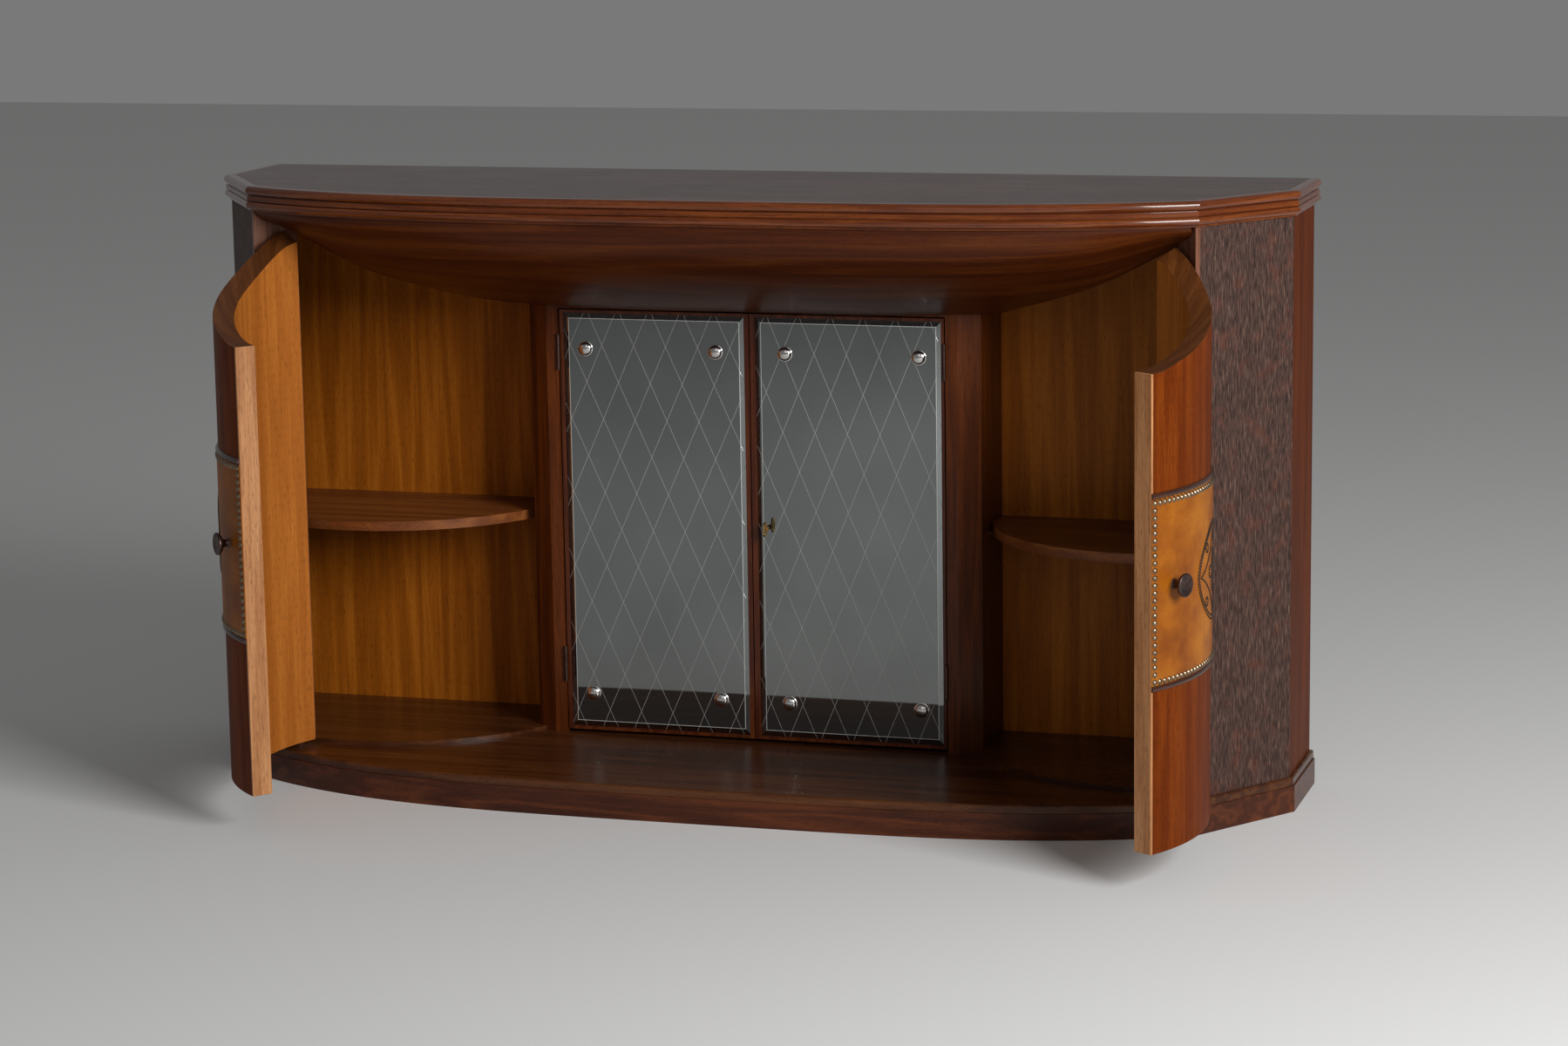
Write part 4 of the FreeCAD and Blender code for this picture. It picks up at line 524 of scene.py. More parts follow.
# %% [markdown]
# A crown moulding is planed in long lengths with a shaped cutter, and mitred where it turns. The
# same section runs round the whole top: a half-round bead, a thin dark groove, a flat fillet,
# another groove, and a lower bead over a narrow lip. Each length is swept here as a grid, with
# the section in one direction and the run in the other. The grain follows the run.
# %% Crown mouldings
BEAD_STEPS = 12


def section_arc(start, crest, stop):
    """Points of the circle through three places, in order."""
    (x1, y1), (x2, y2), (x3, y3) = start, crest, stop
    d = 2 * (x1 * (y2 - y3) + x2 * (y3 - y1) + x3 * (y1 - y2))
    s1, s2, s3 = x1 ** 2 + y1 ** 2, x2 ** 2 + y2 ** 2, x3 ** 2 + y3 ** 2
    cx = (s1 * (y2 - y3) + s2 * (y3 - y1) + s3 * (y1 - y2)) / d
    cy = (s1 * (x3 - x2) + s2 * (x1 - x3) + s3 * (x2 - x1)) / d
    radius = hypot(x1 - cx, y1 - cy)
    first, last = atan2(y1 - cy, x1 - cx), atan2(y3 - cy, x3 - cx)
    turns = [first + (last - first) * step / BEAD_STEPS for step in range(BEAD_STEPS + 1)]
    return [(cx + radius * cos(turn), cy + radius * sin(turn)) for turn in turns]


BEAD_FOOT, FILLET_TOP, FILLET_FOOT, LOWER_TOP, LOWER_FOOT = 868.6, 867.6, 861.2, 860.2, 848.6
GROOVE, FILLET, LIP, BACK = 5.0, 7.6, 3.0, -6.0
section = section_arc((3.3, TOTAL_HEIGHT), (10.0, 875.3), (3.3, BEAD_FOOT))
section += [(GROOVE, BEAD_FOOT), (GROOVE, FILLET_TOP), (FILLET, FILLET_TOP), (FILLET, FILLET_FOOT),
            (GROOVE, FILLET_FOOT)]
section += section_arc((GROOVE, LOWER_TOP), (9.4, (LOWER_TOP + LOWER_FOOT) / 2), (GROOVE, LOWER_FOOT))
section += [(LIP, LOWER_FOOT), (LIP, CARCASS_TOP), (BACK, CARCASS_TOP), (BACK, TOTAL_HEIGHT)]
section_run = run_lengths(section)


def moulding(name, stations, replaced):
    """stations are functions from an outward distance to a point in plan, in order along the run."""
    points, uvs, along = [], [], 0.0
    for number, station in enumerate(stations):
        if number:
            along += (station(0.0) - stations[number - 1](0.0)).length
        for (out, height), run in zip(section, section_run):
            place = station(out)
            points.append((place.x, place.y, height))
            uvs.append((along * MM, run * MM))
    faces = swept_faces(len(stations), len(section), flipped=True)
    mesh_piece(name, points, faces, [moulding_wood], uvs, "carcass", [replaced], 32)


BOW_STEPS, STRAIGHT_STEPS = 60, 12
bow_shares = [sin(pi / 2 * step / BOW_STEPS) for step in range(-BOW_STEPS, BOW_STEPS + 1)]
moulding("front_crown_moulding", [lambda out, s=s: bow_point(s, out) for s in bow_shares], "front_moulding")
for hand, side in SIDES.items():
    for label, first, second in (("diagonal", "A", "B"), ("side", "B", "C")):
        if side < 0:
            first, second = second, first
        ends = [lambda out, n=n, s=side: outline_corner(n, out, s) for n in (first, second)]
        shares = [step / STRAIGHT_STEPS for step in range(STRAIGHT_STEPS + 1)]
        stations = [lambda out, t=t, e=ends: e[0](out).lerp(e[1](out), t) for t in shares]
        moulding(f"{hand}_{label}_crown_moulding", stations, f"{hand}_{label}_moulding")
print("section length", round(section_run[-1], 1), "mm")

# %% [markdown]
# The valance is shaped like a ship's hull: deepest in the middle, fading to nothing at the ends,
# and swept back underneath as it goes down. Its maker would build it from coopered strips, fair
# them with a spokeshave and lay veneer over the curve. It is drawn as one smooth skin from the
# same formula as the CAD, with a bottom edge and an inner face, and cut back where the curved
# doors swing past.
# %% Hull-shaped valance
HULL_DROP, HULL_HALF, HULL_SETBACK, HULL_WALL, HULL_BACK_RADIUS = 156.0, 688.0, 1.0, 14.0, 262.0
HULL_TURN, PILASTER_Y, ARC_X, ARC_Y = radians(50), 71.0, 593.0, 212.0
HULL_SHARES = [(0.0, 1.0), (0.3, 1.0), (0.5, 0.965), (0.6, 0.94), (0.69, 0.885), (0.76, 0.815), (0.82, 0.71),
               (0.89, 0.52), (0.95, 0.345), (1.0, 0.28)]


def smooth_share(table, share):
    """Reads a table with a smooth curve through its rows."""
    xs, ys = zip(*table)
    last, slopes = len(xs) - 1, [0.0]
    for i in range(last):
        after = min(i + 2, last)
        slopes.append((ys[after] - ys[i]) / (xs[after] - xs[i]))
    share = min(max(share, xs[0]), xs[-1])
    i = max(k for k in range(last) if xs[k] <= share)
    width = xs[i + 1] - xs[i]
    u = (share - xs[i]) / width
    return ((1 + 2 * u) * (1 - u) ** 2 * ys[i] + u * (1 - u) ** 2 * width * slopes[i]
            + u * u * (3 - 2 * u) * ys[i + 1] + u * u * (u - 1) * width * slopes[i + 1])


def hull_drop_at(x):
    return HULL_DROP * smooth_share(HULL_SHARES, abs(x) / HULL_HALF)


def hull_point(x, turn, inward=0.0):
    """A point of the skin, or of the inner face a wall's thickness behind it."""
    front = bow_front(x) + HULL_SETBACK + inward
    share = (1 - cos(turn)) / (1 - cos(HULL_TURN))
    fall = (hull_drop_at(x) - inward) * sin(turn) / sin(HULL_TURN)
    return Vector((x, front + (PILASTER_Y - front) * share, CARCASS_TOP - fall))


# The corner post's inner face in plan, from the front to the back
POST_LINE = [(694.0, -111.0), (663.12, -74.55), (655.47, -42.45), (630.0, 64.0)]
HULL_COLUMNS, HULL_ROWS, HALVINGS, THIN_SHARE, SECTION_LENGTH = 160, 26, 30, 0.55, 0.26


def in_the_way(place):
    """True where the doors' cylinder or the corner post takes the valance's place."""
    x, y = abs(place.x), place.y
    if hypot(x - ARC_X, y - ARC_Y) < HULL_BACK_RADIUS:
        return True
    for (xa, ya), (xb, yb) in zip(POST_LINE, POST_LINE[1:]):
        if ya <= y <= yb:
            return x > xa + (xb - xa) * (y - ya) / (yb - ya)
    return False


def last_turn(x, inward):
    """How far down the section goes at x before something takes its place."""
    if abs(x) < ARC_X - HULL_BACK_RADIUS:
        return HULL_TURN
    low, high = 0.0, HULL_TURN
    for _ in range(HALVINGS):
        middle = (low + high) / 2
        if in_the_way(hull_point(x, middle, inward)):
            high = middle
        else:
            low = middle
    return low


places = [HULL_HALF * sin(pi / 2 * (2 * c / HULL_COLUMNS - 1)) for c in range(HULL_COLUMNS + 1)]
walls = [[0.0] * len(places), [min(HULL_WALL, hull_drop_at(x) * THIN_SHARE) for x in places]]
turns = [[last_turn(x, wall) for x, wall in zip(places, skin)] for skin in walls]


def hull_rule(skin, r, c):
    turn = turns[skin][c] * r / HULL_ROWS
    return tuple(hull_point(places[c], turn, walls[skin][c])), (places[c] * MM, turn * SECTION_LENGTH)


valance = sheet_piece("hull_valance", HULL_ROWS, HULL_COLUMNS, hull_rule, [hull_wood], "carcass",
                      "apron_hull", sharp=40)
print("valance drops", HULL_DROP, "mm over", len(valance.data.polygons), "faces")

# %% [markdown]
# Each curved door is bent plywood, faced outside with a reddish mahogany veneer and inside with
# golden walnut, both with the grain upright. Its free edge has a glued-on lipping of paler wood.
# The panel is drawn closed on its arc and then turned about the hinge pin to where it stands in
# the photograph. Its top edge follows the valance, so it is read from the CAD piece.
# %% Curved doors
DOOR_RADIUS, DOOR_THICKNESS, DOOR_FOOT = 295.0, 30.0, 58.0
HINGE_ANGLE, END_ANGLE = radians(-76.6), radians(-153.0)
PIVOT = Vector((662.3853, -79.2491, 0.0))
OPEN = {"left": radians(102.1), "right": radians(121.7)}
HINGE_HALF_GAP, STRIP = 1.8, 4.0
DOOR_STEPS, DOOR_ROWS = 56, 24
TOP_SEARCH_FROM, FACE_TOLERANCE, INNER_UV_SHIFT, DOOR_ROUNDING, UPRIGHT = 600.0, 0.4, 0.4, 0.7, 0.7


def opened(hand, point):
    """Carries a point of the closed right door to its open place on either side."""
    place = PIVOT + Matrix.Rotation(OPEN[hand], 3, "Z") @ (Vector(point) - PIVOT)
    return (place.x * SIDES[hand], place.y, place.z)


def top_profile(hand):
    """The door's top height against angle, on its outer and inner skin, read from the CAD pieces."""
    found, back = ([], []), Matrix.Rotation(-OPEN[hand], 3, "Z")
    for node in (f"{hand}_door_panel", f"{hand}_door_edge_strip"):
        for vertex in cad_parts[node].data.vertices:
            x, y, z = (value / MM for value in vertex.co)
            place = PIVOT + back @ (Vector((x * SIDES[hand], y, z)) - PIVOT)
            depth = DOOR_RADIUS - hypot(place.x - ARC_X, place.y - ARC_Y)
            angle = atan2(place.y - ARC_Y, place.x - ARC_X)
            for skin, rows in enumerate(found):
                if place.z > TOP_SEARCH_FROM and abs(depth - skin * DOOR_THICKNESS) < FACE_TOLERANCE:
                    rows.append((angle, place.z))
    return [sorted(rows) for rows in found]


def read_profile(rows, angle):
    """Straight-line reading of the sorted (angle, height) rows; doubled angles keep their highest."""
    below = [row for row in rows if row[0] <= angle + 1e-6]
    above = [row for row in rows if row[0] >= angle - 1e-6]
    if not below:
        return above[0][1]
    if not above:
        return below[-1][1]
    (a, za), (b, zb) = below[-1], above[0]
    return za if b - a < 1e-9 else za + (zb - za) * (angle - a) / (b - a)


profiles = {hand: top_profile(hand) for hand in SIDES}
print("points read along the doors' tops:", {hand: [len(rows) for rows in profiles[hand]] for hand in SIDES})


def on_door(hand, angle, radius, height):
    """A point of the open door from its angle on the closed arc, its radius and its height."""
    return opened(hand, (ARC_X + radius * cos(angle), ARC_Y + radius * sin(angle), height))


def hinge_end(radius, distance=HINGE_HALF_GAP):
    """Where a face square to the hinge's line, at a distance from it, meets a radius."""
    return HINGE_ANGLE - asin(distance / radius)


def panel_end(radius):
    """Where the panel stops and the lipping starts, for the lipping is as thick at every radius."""
    return END_ANGLE + asin(STRIP / radius)


def door_block(name, hand, first, last, steps, materials, slots, replaced):
    """A curved board. first and last give the angles of its end faces at a radius."""

    def rule(skin, r, c):
        radius = DOOR_RADIUS - skin * DOOR_THICKNESS
        angle = first(radius) + (last(radius) - first(radius)) * c / steps
        height = DOOR_FOOT + (read_profile(profiles[hand][skin], angle) - DOOR_FOOT) * r / DOOR_ROWS
        uv = (angle * DOOR_RADIUS * MM + skin * INNER_UV_SHIFT, height * MM)
        return on_door(hand, angle, radius, height), uv

    piece = sheet_piece(name, DOOR_ROWS, steps, rule, materials, f"{hand}_door", replaced, hand,
                        slots=slots)
    places = piece.data.uv_layers["UVMap"].data
    for polygon in list(piece.data.polygons)[2 * DOOR_ROWS * steps:]:
        for index in polygon.loop_indices:
            skin = int(piece.data.loops[index].vertex_index >= (DOOR_ROWS + 1) * (steps + 1))
            across, (run, height) = skin * DOOR_THICKNESS * MM, places[index].uv
            if abs(polygon.normal.z) < UPRIGHT:
                places[index].uv = (across, height)
            else:
                places[index].uv = (height + across, run - skin * INNER_UV_SHIFT)
    soften(piece, DOOR_ROUNDING)


for hand in SIDES:
    door_block(f"{hand}_curved_door", hand, hinge_end, panel_end, DOOR_STEPS,
               [door_outside, door_inside, top_edge_wood], (0, 1, 2), f"{hand}_door_panel")
    door_block(f"{hand}_door_lipping", hand, panel_end, lambda radius: END_ANGLE, 2, [edge_wood],
               (0, 0, 0), f"{hand}_door_edge_strip")
print("doors stand open", {key: round(degrees(value), 1) for key, value in OPEN.items()})

# %% [markdown]
# A half-round bead runs above and below the leather band. It is a thin strip of dark mahogany,
# steamed to the door's curve and pinned on. The arc of its section has twelve flats here, so the
# highlight along its crest is a clean line.
# %% Beads on the doors
BAND_LOW, BAND_HIGH, BEAD_HEIGHT, BEAD_PROUD, BEAD_LENGTHS = 276.0, 538.0, 8.0, 3.6, 72
BAND_START = hinge_end(DOOR_RADIUS, HINGE_HALF_GAP + 10.0)
BAND_END = END_ANGLE + 0.5 / DOOR_RADIUS
bead_wood = wood("polished_mahogany_bead", ("#1e100b", "#3f2013", "#5a3220"), "X", "UV", figure_mm=16,
                 seed=1.9, roughness=0.28, coat=0.45, figure=0.5)
for hand in SIDES:
    points, uvs, faces = [], [], []
    for low in (BAND_LOW, BAND_HIGH - BEAD_HEIGHT):
        crest = (DOOR_RADIUS + BEAD_PROUD, low + BEAD_HEIGHT / 2)
        profile = section_arc((DOOR_RADIUS, low + BEAD_HEIGHT), crest, (DOOR_RADIUS, low))
        faces += ordered(hand, swept_faces(BEAD_LENGTHS + 1, len(profile), start=len(points)))
        for c in range(BEAD_LENGTHS + 1):
            angle = BAND_START + (BAND_END - BAND_START) * c / BEAD_LENGTHS
            for number, (radius, height) in enumerate(profile):
                points.append(on_door(hand, angle, radius, height))
                uvs.append((angle * DOOR_RADIUS * MM, number * MM))
    mesh_piece(f"{hand}_door_band_beads", points, faces, [bead_wood], uvs, f"{hand}_door",
               [f"{hand}_door_beads"], 40)
print("bead length", round(abs(BAND_END - BAND_START) * DOOR_RADIUS), "mm")

# %% [markdown]
# The leather is stretched over thin wadding and nailed all round, so it rises a little between the
# rows of nails and dips at its edges. The rise is under a millimetre, but it is what makes light
# roll over the band.
# %% Leather bands
LEATHER_LOW, LEATHER_HIGH, LEATHER_FACE = BAND_LOW + BEAD_HEIGHT, BAND_HIGH - BEAD_HEIGHT, DOOR_RADIUS + 1.6
LEATHER_LENGTH = abs(BAND_END - BAND_START) * LEATHER_FACE
PUFF, EDGE_ROLL, EDGE_DIP, SEAT, LEATHER_COLUMNS, LEATHER_ROWS = 0.9, 14.0, 0.5, 0.05, 120, 76


def leather_rule(hand, skin, r, c):
    """The face's radius comes from the distances to its four edges, and the back lies on the door."""
    share, height = c / LEATHER_COLUMNS, LEATHER_LOW + (LEATHER_HIGH - LEATHER_LOW) * r / LEATHER_ROWS
    angle, run = BAND_START + (BAND_END - BAND_START) * share, LEATHER_LENGTH * share
    near = min(run, LEATHER_LENGTH - run, height - LEATHER_LOW, LEATHER_HIGH - height)
    rise = min(max(near / EDGE_ROLL, 0.0), 1.0)
    radius = LEATHER_FACE - EDGE_DIP + (EDGE_DIP + PUFF) * (1 - (1 - rise) ** 2)
    place = on_door(hand, angle, DOOR_RADIUS + SEAT if skin else radius, height)
    return place, (angle * DOOR_RADIUS * MM, height * MM)


for hand in SIDES:
    sheet_piece(f"{hand}_leather_band", LEATHER_ROWS, LEATHER_COLUMNS,
                lambda skin, r, c: leather_rule(hand, skin, r, c), [waxed_leather], f"{hand}_door",
                f"{hand}_door_leather", hand, sharp=50)
print("leather", round(LEATHER_LENGTH), "by", round(LEATHER_HIGH - LEATHER_LOW), "mm")

# %% [markdown]
# Upholstery nails are pressed domes of thin brass, left to go dull. A Geometry Nodes tree sets
# them: the row of places is a mesh of loose points with a direction stored on each, and the tree
# puts one nail head on every point, turned to that direction and varied a little in size. Its
# inputs have names, so the same tree can set other nails or studs.
# %% Nails
NAIL_RADIUS, NAIL_DOME, NAIL_PITCH, NAIL_INSET, NAIL_RINGS, TURNED_SHARP = 4.4, 3.1, 9.8, 5.0, 4, 42


def lathe_mesh(name, profile, segments, material):
    """A profile of (radius, height) in millimetres turned about Z, closed on its axis, faces outwards."""
    points = []
    for turn in (tau * step / segments for step in range(segments)):
        points += [(radius * cos(turn), radius * sin(turn), height) for radius, height in profile]
    mesh = bpy.data.meshes.new(name)
    mesh.from_pydata(metres(points), [], grid_faces(segments, len(profile), closed_rows=True))
    work = bmesh.new()
    work.from_mesh(mesh)
    bmesh.ops.remove_doubles(work, verts=work.verts, dist=1e-6)
    bmesh.ops.recalc_face_normals(work, faces=work.faces)
    work.to_mesh(mesh)
    work.free()
    mesh.materials.append(material)
    mesh.polygons.foreach_set("use_smooth", [True] * len(mesh.polygons))
    mesh.set_sharp_from_angle(angle=radians(TURNED_SHARP))
    return mesh


def scatter_tree(name, head, finish):
    """Sets `head` on every point, along the point's stored direction, with a small change of size."""
    tree = bpy.data.node_groups.new(name, "GeometryNodeTree")
    tree.interface.new_socket("Geometry", in_out="INPUT", socket_type="NodeSocketGeometry")
    for label, kind, value in (("Size Change", "Float", 0.04), ("Seed", "Int", 1)):
        socket = tree.interface.new_socket(label, in_out="INPUT", socket_type=f"NodeSocket{kind}")
        socket.default_value = value
    tree.interface.new_socket("Geometry", in_out="OUTPUT", socket_type="NodeSocketGeometry")
    source = add(tree, "NodeGroupInput")
    stored = add(tree, "GeometryNodeInputNamedAttribute", {"Name": "direction"}, data_type="FLOAT_VECTOR")
    turn = add(tree, "FunctionNodeAlignRotationToVector", {"Vector": stored.outputs[0]}, axis="Z")
    low, high = (calc(tree, way, 1.0, source.outputs["Size Change"]) for way in ("SUBTRACT", "ADD"))
    limits = {2: low, 3: high, 8: source.outputs["Seed"]}
    change = add(tree, "FunctionNodeRandomValue", limits, data_type="FLOAT").outputs[1]
    shape = add(tree, "GeometryNodeObjectInfo", {"Object": head}).outputs["Geometry"]
    sockets = {"Points": source.outputs["Geometry"], "Instance": shape, "Rotation": turn.outputs[0]}
    heads = add(tree, "GeometryNodeInstanceOnPoints", {**sockets, "Scale": change})
    real = add(tree, "GeometryNodeRealizeInstances", {"Geometry": heads.outputs[0]})
    finished = add(tree, "GeometryNodeSetMaterial", {"Geometry": real.outputs[0], "Material": finish})
    add(tree, "NodeGroupOutput", {"Geometry": finished.outputs[0]})
    return tree


def scatter(name, places, directions, head_mesh, finish, body, change, seed, replaced=()):
    """Runs the tree over places in millimetres and keeps the result as one plain mesh."""
    head = in_scene(name + "_head", head_mesh)
    dots = bpy.data.meshes.new(name + "_places")
    dots.from_pydata(metres(places), [], [])
    stored = dots.attributes.new("direction", "FLOAT_VECTOR", "POINT")
    stored.data.foreach_set("vector", [v for direction in directions for v in direction])
    carrier = in_scene(name + "_carrier", dots)
    tree = scatter_tree(name + "_tree", head, finish)
    modifier = carrier.modifiers.new("set", "NODES")
    modifier.node_group = tree
    sockets = {item.name: item.identifier for item in tree.interface.items_tree if item.in_out == "INPUT"}
    modifier[sockets["Size Change"]] = change
    modifier[sockets["Seed"]] = seed
    graph = bpy.context.evaluated_depsgraph_get()
    mesh = bpy.data.meshes.new_from_object(carrier.evaluated_get(graph))
    mesh.name = name
    for helper in (carrier, head):
        bpy.data.objects.remove(helper)
    place_piece(name, mesh, body, replaced)


nail_ball = (NAIL_RADIUS ** 2 + NAIL_DOME ** 2) / (2 * NAIL_DOME)
# The dome's edge turns in a little, so it sinks into the leather
nail_profile = [(NAIL_RADIUS * 0.9, -0.3), (NAIL_RADIUS, 0.0)]
for step in range(1, NAIL_RINGS + 1):
    lean = asin(NAIL_RADIUS / nail_ball) * (NAIL_RINGS - step) / NAIL_RINGS
    nail_profile.append((nail_ball * sin(lean), NAIL_DOME - nail_ball + nail_ball * cos(lean)))


def open_direction(hand, angle):
    """Outward direction of the door's face at an angle, after it has opened."""
    way = Matrix.Rotation(OPEN[hand], 3, "Z") @ Vector((cos(angle), sin(angle), 0))
    return (way.x * SIDES[hand], way.y, 0.0)


low, high = LEATHER_LOW + NAIL_INSET, LEATHER_HIGH - NAIL_INSET
start, stop = BAND_START - NAIL_INSET / LEATHER_FACE, BAND_END + NAIL_INSET / LEATHER_FACE
along, rise = round(abs(stop - start) * LEATHER_FACE / NAIL_PITCH), round((high - low) / NAIL_PITCH)
nail_angles = [(start + (stop - start) * step / along, level)
               for step in range(along + 1) for level in (low, high)]
nail_angles += [(angle, low + (high - low) * step / rise)
                for step in range(1, rise) for angle in (start, stop)]
for hand in SIDES:
    head_mesh = lathe_mesh("nail_head", nail_profile, 12, nail_metal)
    places = [on_door(hand, angle, LEATHER_FACE - 0.1, height) for angle, height in nail_angles]
    ways = [open_direction(hand, angle) for angle, _ in nail_angles]
    scatter(f"{hand}_upholstery_nails", places, ways, head_mesh, nail_metal, f"{hand}_door", change=0.03,
            seed=7, replaced=[f"{hand}_door_nails"])
print("nails on each door:", len(nail_angles))

# %% [markdown]
# A stitched ornament lies in the middle of each band: two ovals round a star with hollow
# sides, a rosette of four petals, and small rings. Each line is walked in steps of one stitch, and
# the tree that set the nails now lays a short length of thread along every step.
# %% Stitched ornament
STITCH_PITCH, STITCH_LENGTH, THREAD_RADIUS, OVAL, STAR, RING_MM = 4.2, 3.9, 1.2, 1.2, 2.6, 6.0
BAND_MIDDLE, BAND_LEVEL = (BAND_START + BAND_END) / 2, (LEATHER_LOW + LEATHER_HIGH) / 2
THREAD_FACE = LEATHER_FACE + PUFF + THREAD_RADIUS * 0.3


def closed_curve(rule, samples=720):
    return [rule(tau * step / samples) for step in range(samples + 1)]


def signed_power(value, power):
    return copysign(abs(value) ** power, value)


def lozenge(width, height, power, u=0.0, v=0.0):
    """A power over 2 makes the sides hollow, and 1 makes an oval or a ring."""
    return closed_curve(lambda t: (u + width * signed_power(cos(t), power),
                                   v + height * signed_power(sin(t), power)))


def rosette(radius):
    return closed_curve(lambda t: (radius * cos(2 * t) * cos(t), radius * cos(2 * t) * sin(t)))


def stitches(curve):
    """Middles and directions of equal steps along a curve."""
    runs = run_lengths(curve)
    count, found, k = max(round(runs[-1] / STITCH_PITCH), 6), [], 0
    for number in range(count):
        goal = runs[-1] * (number + 0.5) / count
        while runs[k + 1] < goal:
            k += 1
        (u1, v1), (u2, v2) = curve[k], curve[k + 1]
        share = (goal - runs[k]) / (runs[k + 1] - runs[k])
        length = dist(curve[k], curve[k + 1])
        found.append((u1 + (u2 - u1) * share, v1 + (v2 - v1) * share, (u2 - u1) / length, (v2 - v1) / length))
    return found


# Half widths, half heights and radii in millimetres from the middle of the band
ORNAMENT = [lozenge(80.0, 67.0, OVAL), lozenge(75.0, 62.0, OVAL), lozenge(70.0, 57.0, STAR), rosette(29.0)]
ORNAMENT += [lozenge(RING_MM, RING_MM, 1.0, u, v)
             for u, v in ((0, 0), (-42, -36), (-42, 36), (42, -36), (42, 36))]
stitch_profile = [(THREAD_RADIUS * thick, STITCH_LENGTH * along)
                  for thick, along in ((0.0, -0.5), (0.8, -0.36), (1.0, 0.0), (0.8, 0.36), (0.0, 0.5))]
every_stitch = [stitch for curve in ORNAMENT for stitch in stitches(curve)]
for hand in SIDES:
    thread_mesh = lathe_mesh("stitch", stitch_profile, 6, linen_thread)
    places, ways = [], []
    for u, v, along_u, along_v in every_stitch:
        place, ahead = (Vector(on_door(hand, BAND_MIDDLE + right / LEATHER_FACE, THREAD_FACE,
                                       BAND_LEVEL + rise))
                        for right, rise in ((u, v), (u + along_u, v + along_v)))
        places.append(tuple(place))
        ways.append(tuple((ahead - place).normalized()))
    scatter(f"{hand}_stitched_ornament", places, ways, thread_mesh, linen_thread, f"{hand}_door",
            change=0.06, seed=3)
print("stitches on each door:", len(every_stitch))

# %% [markdown]
# The knobs are cast bronze: a short waisted stem and a round head with a raised rim and a dished
# face. They are turned here from one profile of radius against distance, then laid along the
# door's outward direction.
# %% Knobs
KNOB_ANGLE, KNOB_HEIGHT = END_ANGLE + 44.0 / DOOR_RADIUS, 414.0
knob_profile = [(0.0, 0.2), (7.4, 0.2), (7.5, 0.7), (6.9, 1.5), (6.0, 2.9), (5.5, 4.8), (5.3, 6.8),
                (5.6, 9.0), (6.6, 10.9), (8.4, 12.3), (11.0, 13.5), (13.6, 15.2), (15.2, 17.1),
                (15.9, 18.9), (15.9, 19.9), (15.3, 20.9), (14.4, 21.3), (13.4, 21.0), (11.0, 20.4),
                (7.0, 19.9), (3.0, 19.7), (0.0, 19.6)]
for hand in SIDES:
    mesh = lathe_mesh(f"{hand}_bronze_knob", knob_profile, 48, bronze)
    place = Vector(on_door(hand, KNOB_ANGLE, DOOR_RADIUS + 1.2, KNOB_HEIGHT)) * MM
    way = Vector(open_direction(hand, KNOB_ANGLE))
    turn = Vector((0, 0, 1)).rotation_difference(way).to_matrix().to_4x4()
    mesh.transform(Matrix.Translation(place) @ turn)
    place_piece(mesh.name, mesh, f"{hand}_door", [f"{hand}_door_knob"])
print("knob height", KNOB_HEIGHT, "mm")

# %% [markdown]
# Four chromed caps hold each mirror glass. A cap screws over its own fixing, so it shows as a
# small polished dome with a thin rim. One mesh per door carries all four.
# %% Mirror caps
CAP_RADIUS, CAP_HEIGHT, RIM_HEIGHT, DOME_RINGS, GLASS_FRONT = 11.5, 7.0, 1.5, 10, 77.0
CAP_PLACES = [(x, z) for x in (53.0, 254.0) for z in (110.0, 630.0)]
cap_profile = [(0.0, 0.0), (CAP_RADIUS - 0.3, 0.0), (CAP_RADIUS, 0.3), (CAP_RADIUS, 1.1),
               (CAP_RADIUS - 0.5, RIM_HEIGHT)]
for turn in (pi / 2 * step / DOME_RINGS for step in range(DOME_RINGS + 1)):
    cap_profile.append(((CAP_RADIUS - 1.2) * cos(turn), RIM_HEIGHT + (CAP_HEIGHT - RIM_HEIGHT) * sin(turn)))
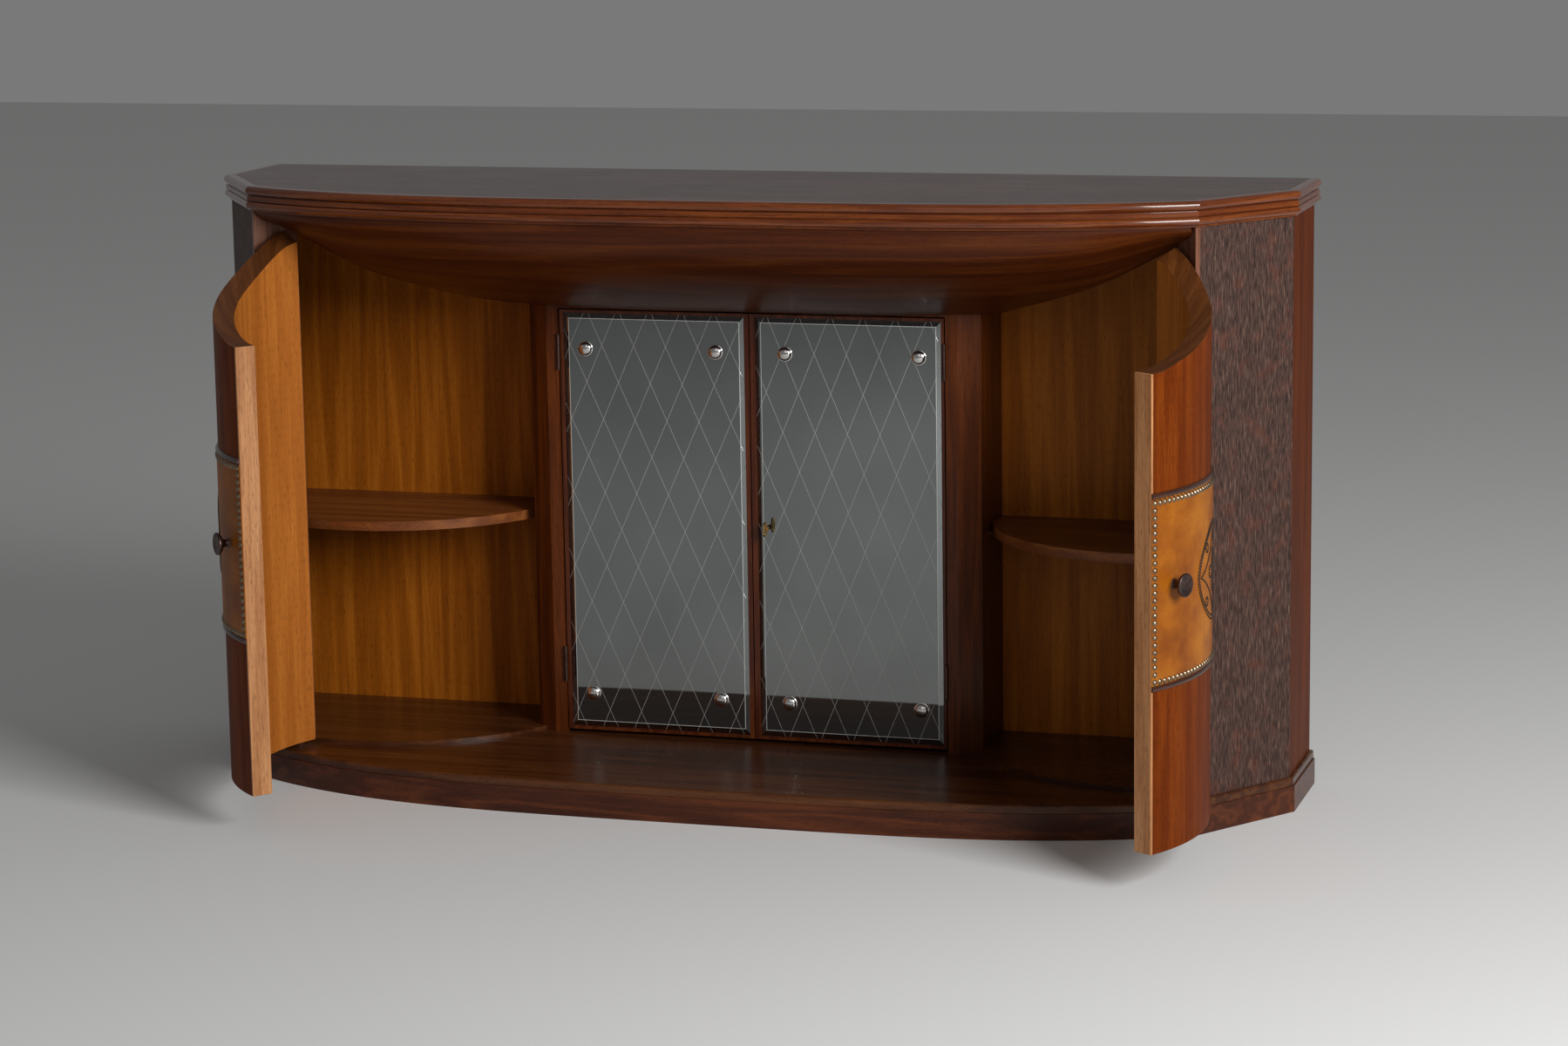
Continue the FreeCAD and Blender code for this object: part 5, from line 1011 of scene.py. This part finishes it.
for hand, side in SIDES.items():
    mesh = lathe_mesh("cap", cap_profile, 40, chrome)
    work = bmesh.new()
    for x, z in CAP_PLACES:
        place = Vector((x * side, GLASS_FRONT, z)) * MM
        one = mesh.copy()
        one.transform(Matrix.Translation(place) @ Matrix.Rotation(pi / 2, 4, "X"))
        work.from_mesh(one)
        bpy.data.meshes.remove(one)
    caps_mesh = bpy.data.meshes.new(f"{hand}_chrome_caps")
    work.to_mesh(caps_mesh)
    work.free()
    caps_mesh.materials.append(chrome)
    caps_mesh.set_sharp_from_angle(angle=radians(TURNED_SHARP))
    place_piece(caps_mesh.name, caps_mesh, f"{hand}_mirror_door", [f"{hand}_mirror_caps"])
print("caps made")

# %% [markdown]
# The floor is plain and pale, and the sky is a dim even grey. One large lamp lights the cabinet from
# the right, and a weak one in front softens the shadows.
# %% Stage
HALF_FLOOR, WORLD_STRENGTH = 12, 0.24
floor_mesh = bpy.data.meshes.new("studio_floor")
floor_corners = [(x * HALF_FLOOR, y * HALF_FLOOR, 0) for x, y in ((-1, -1), (1, -1), (1, 1), (-1, 1))]
floor_mesh.from_pydata(floor_corners, [], [(0, 1, 2, 3)])
floor = in_scene("studio_floor", floor_mesh)
pale_floor, tree, shader, _ = new_material("pale_matt_floor")
feed(tree, shader, {"Base Color": hex_colour("#d9d9d8"), "Roughness": 0.9})
floor_mesh.materials.append(pale_floor)
world = bpy.data.worlds.new("studio")
bpy.context.scene.world = world
world.use_nodes = True
background = {0: (0.8, 0.8, 0.8, 1), 1: WORLD_STRENGTH}
feed(world.node_tree, world.node_tree.nodes["Background"], background)


def area_light(name, place, target, size, power):
    data = bpy.data.lights.new(name, "AREA")
    data.shape = "RECTANGLE"
    data.size, data.size_y = size
    data.energy = power
    lamp = in_scene(name, data)
    lamp.location = place
    lamp.rotation_euler = (Vector(target) - Vector(place)).to_track_quat("-Z", "Y").to_euler()


area_light("key_light", (3.7, -2.7, 2.2), (0, 0, 0.4), (2.0, 2.0), 245)
area_light("fill_light", (0.8, -4.6, 2.4), (0, 0, 0.4), (2.5, 2.0), 11)
print("stage ready")
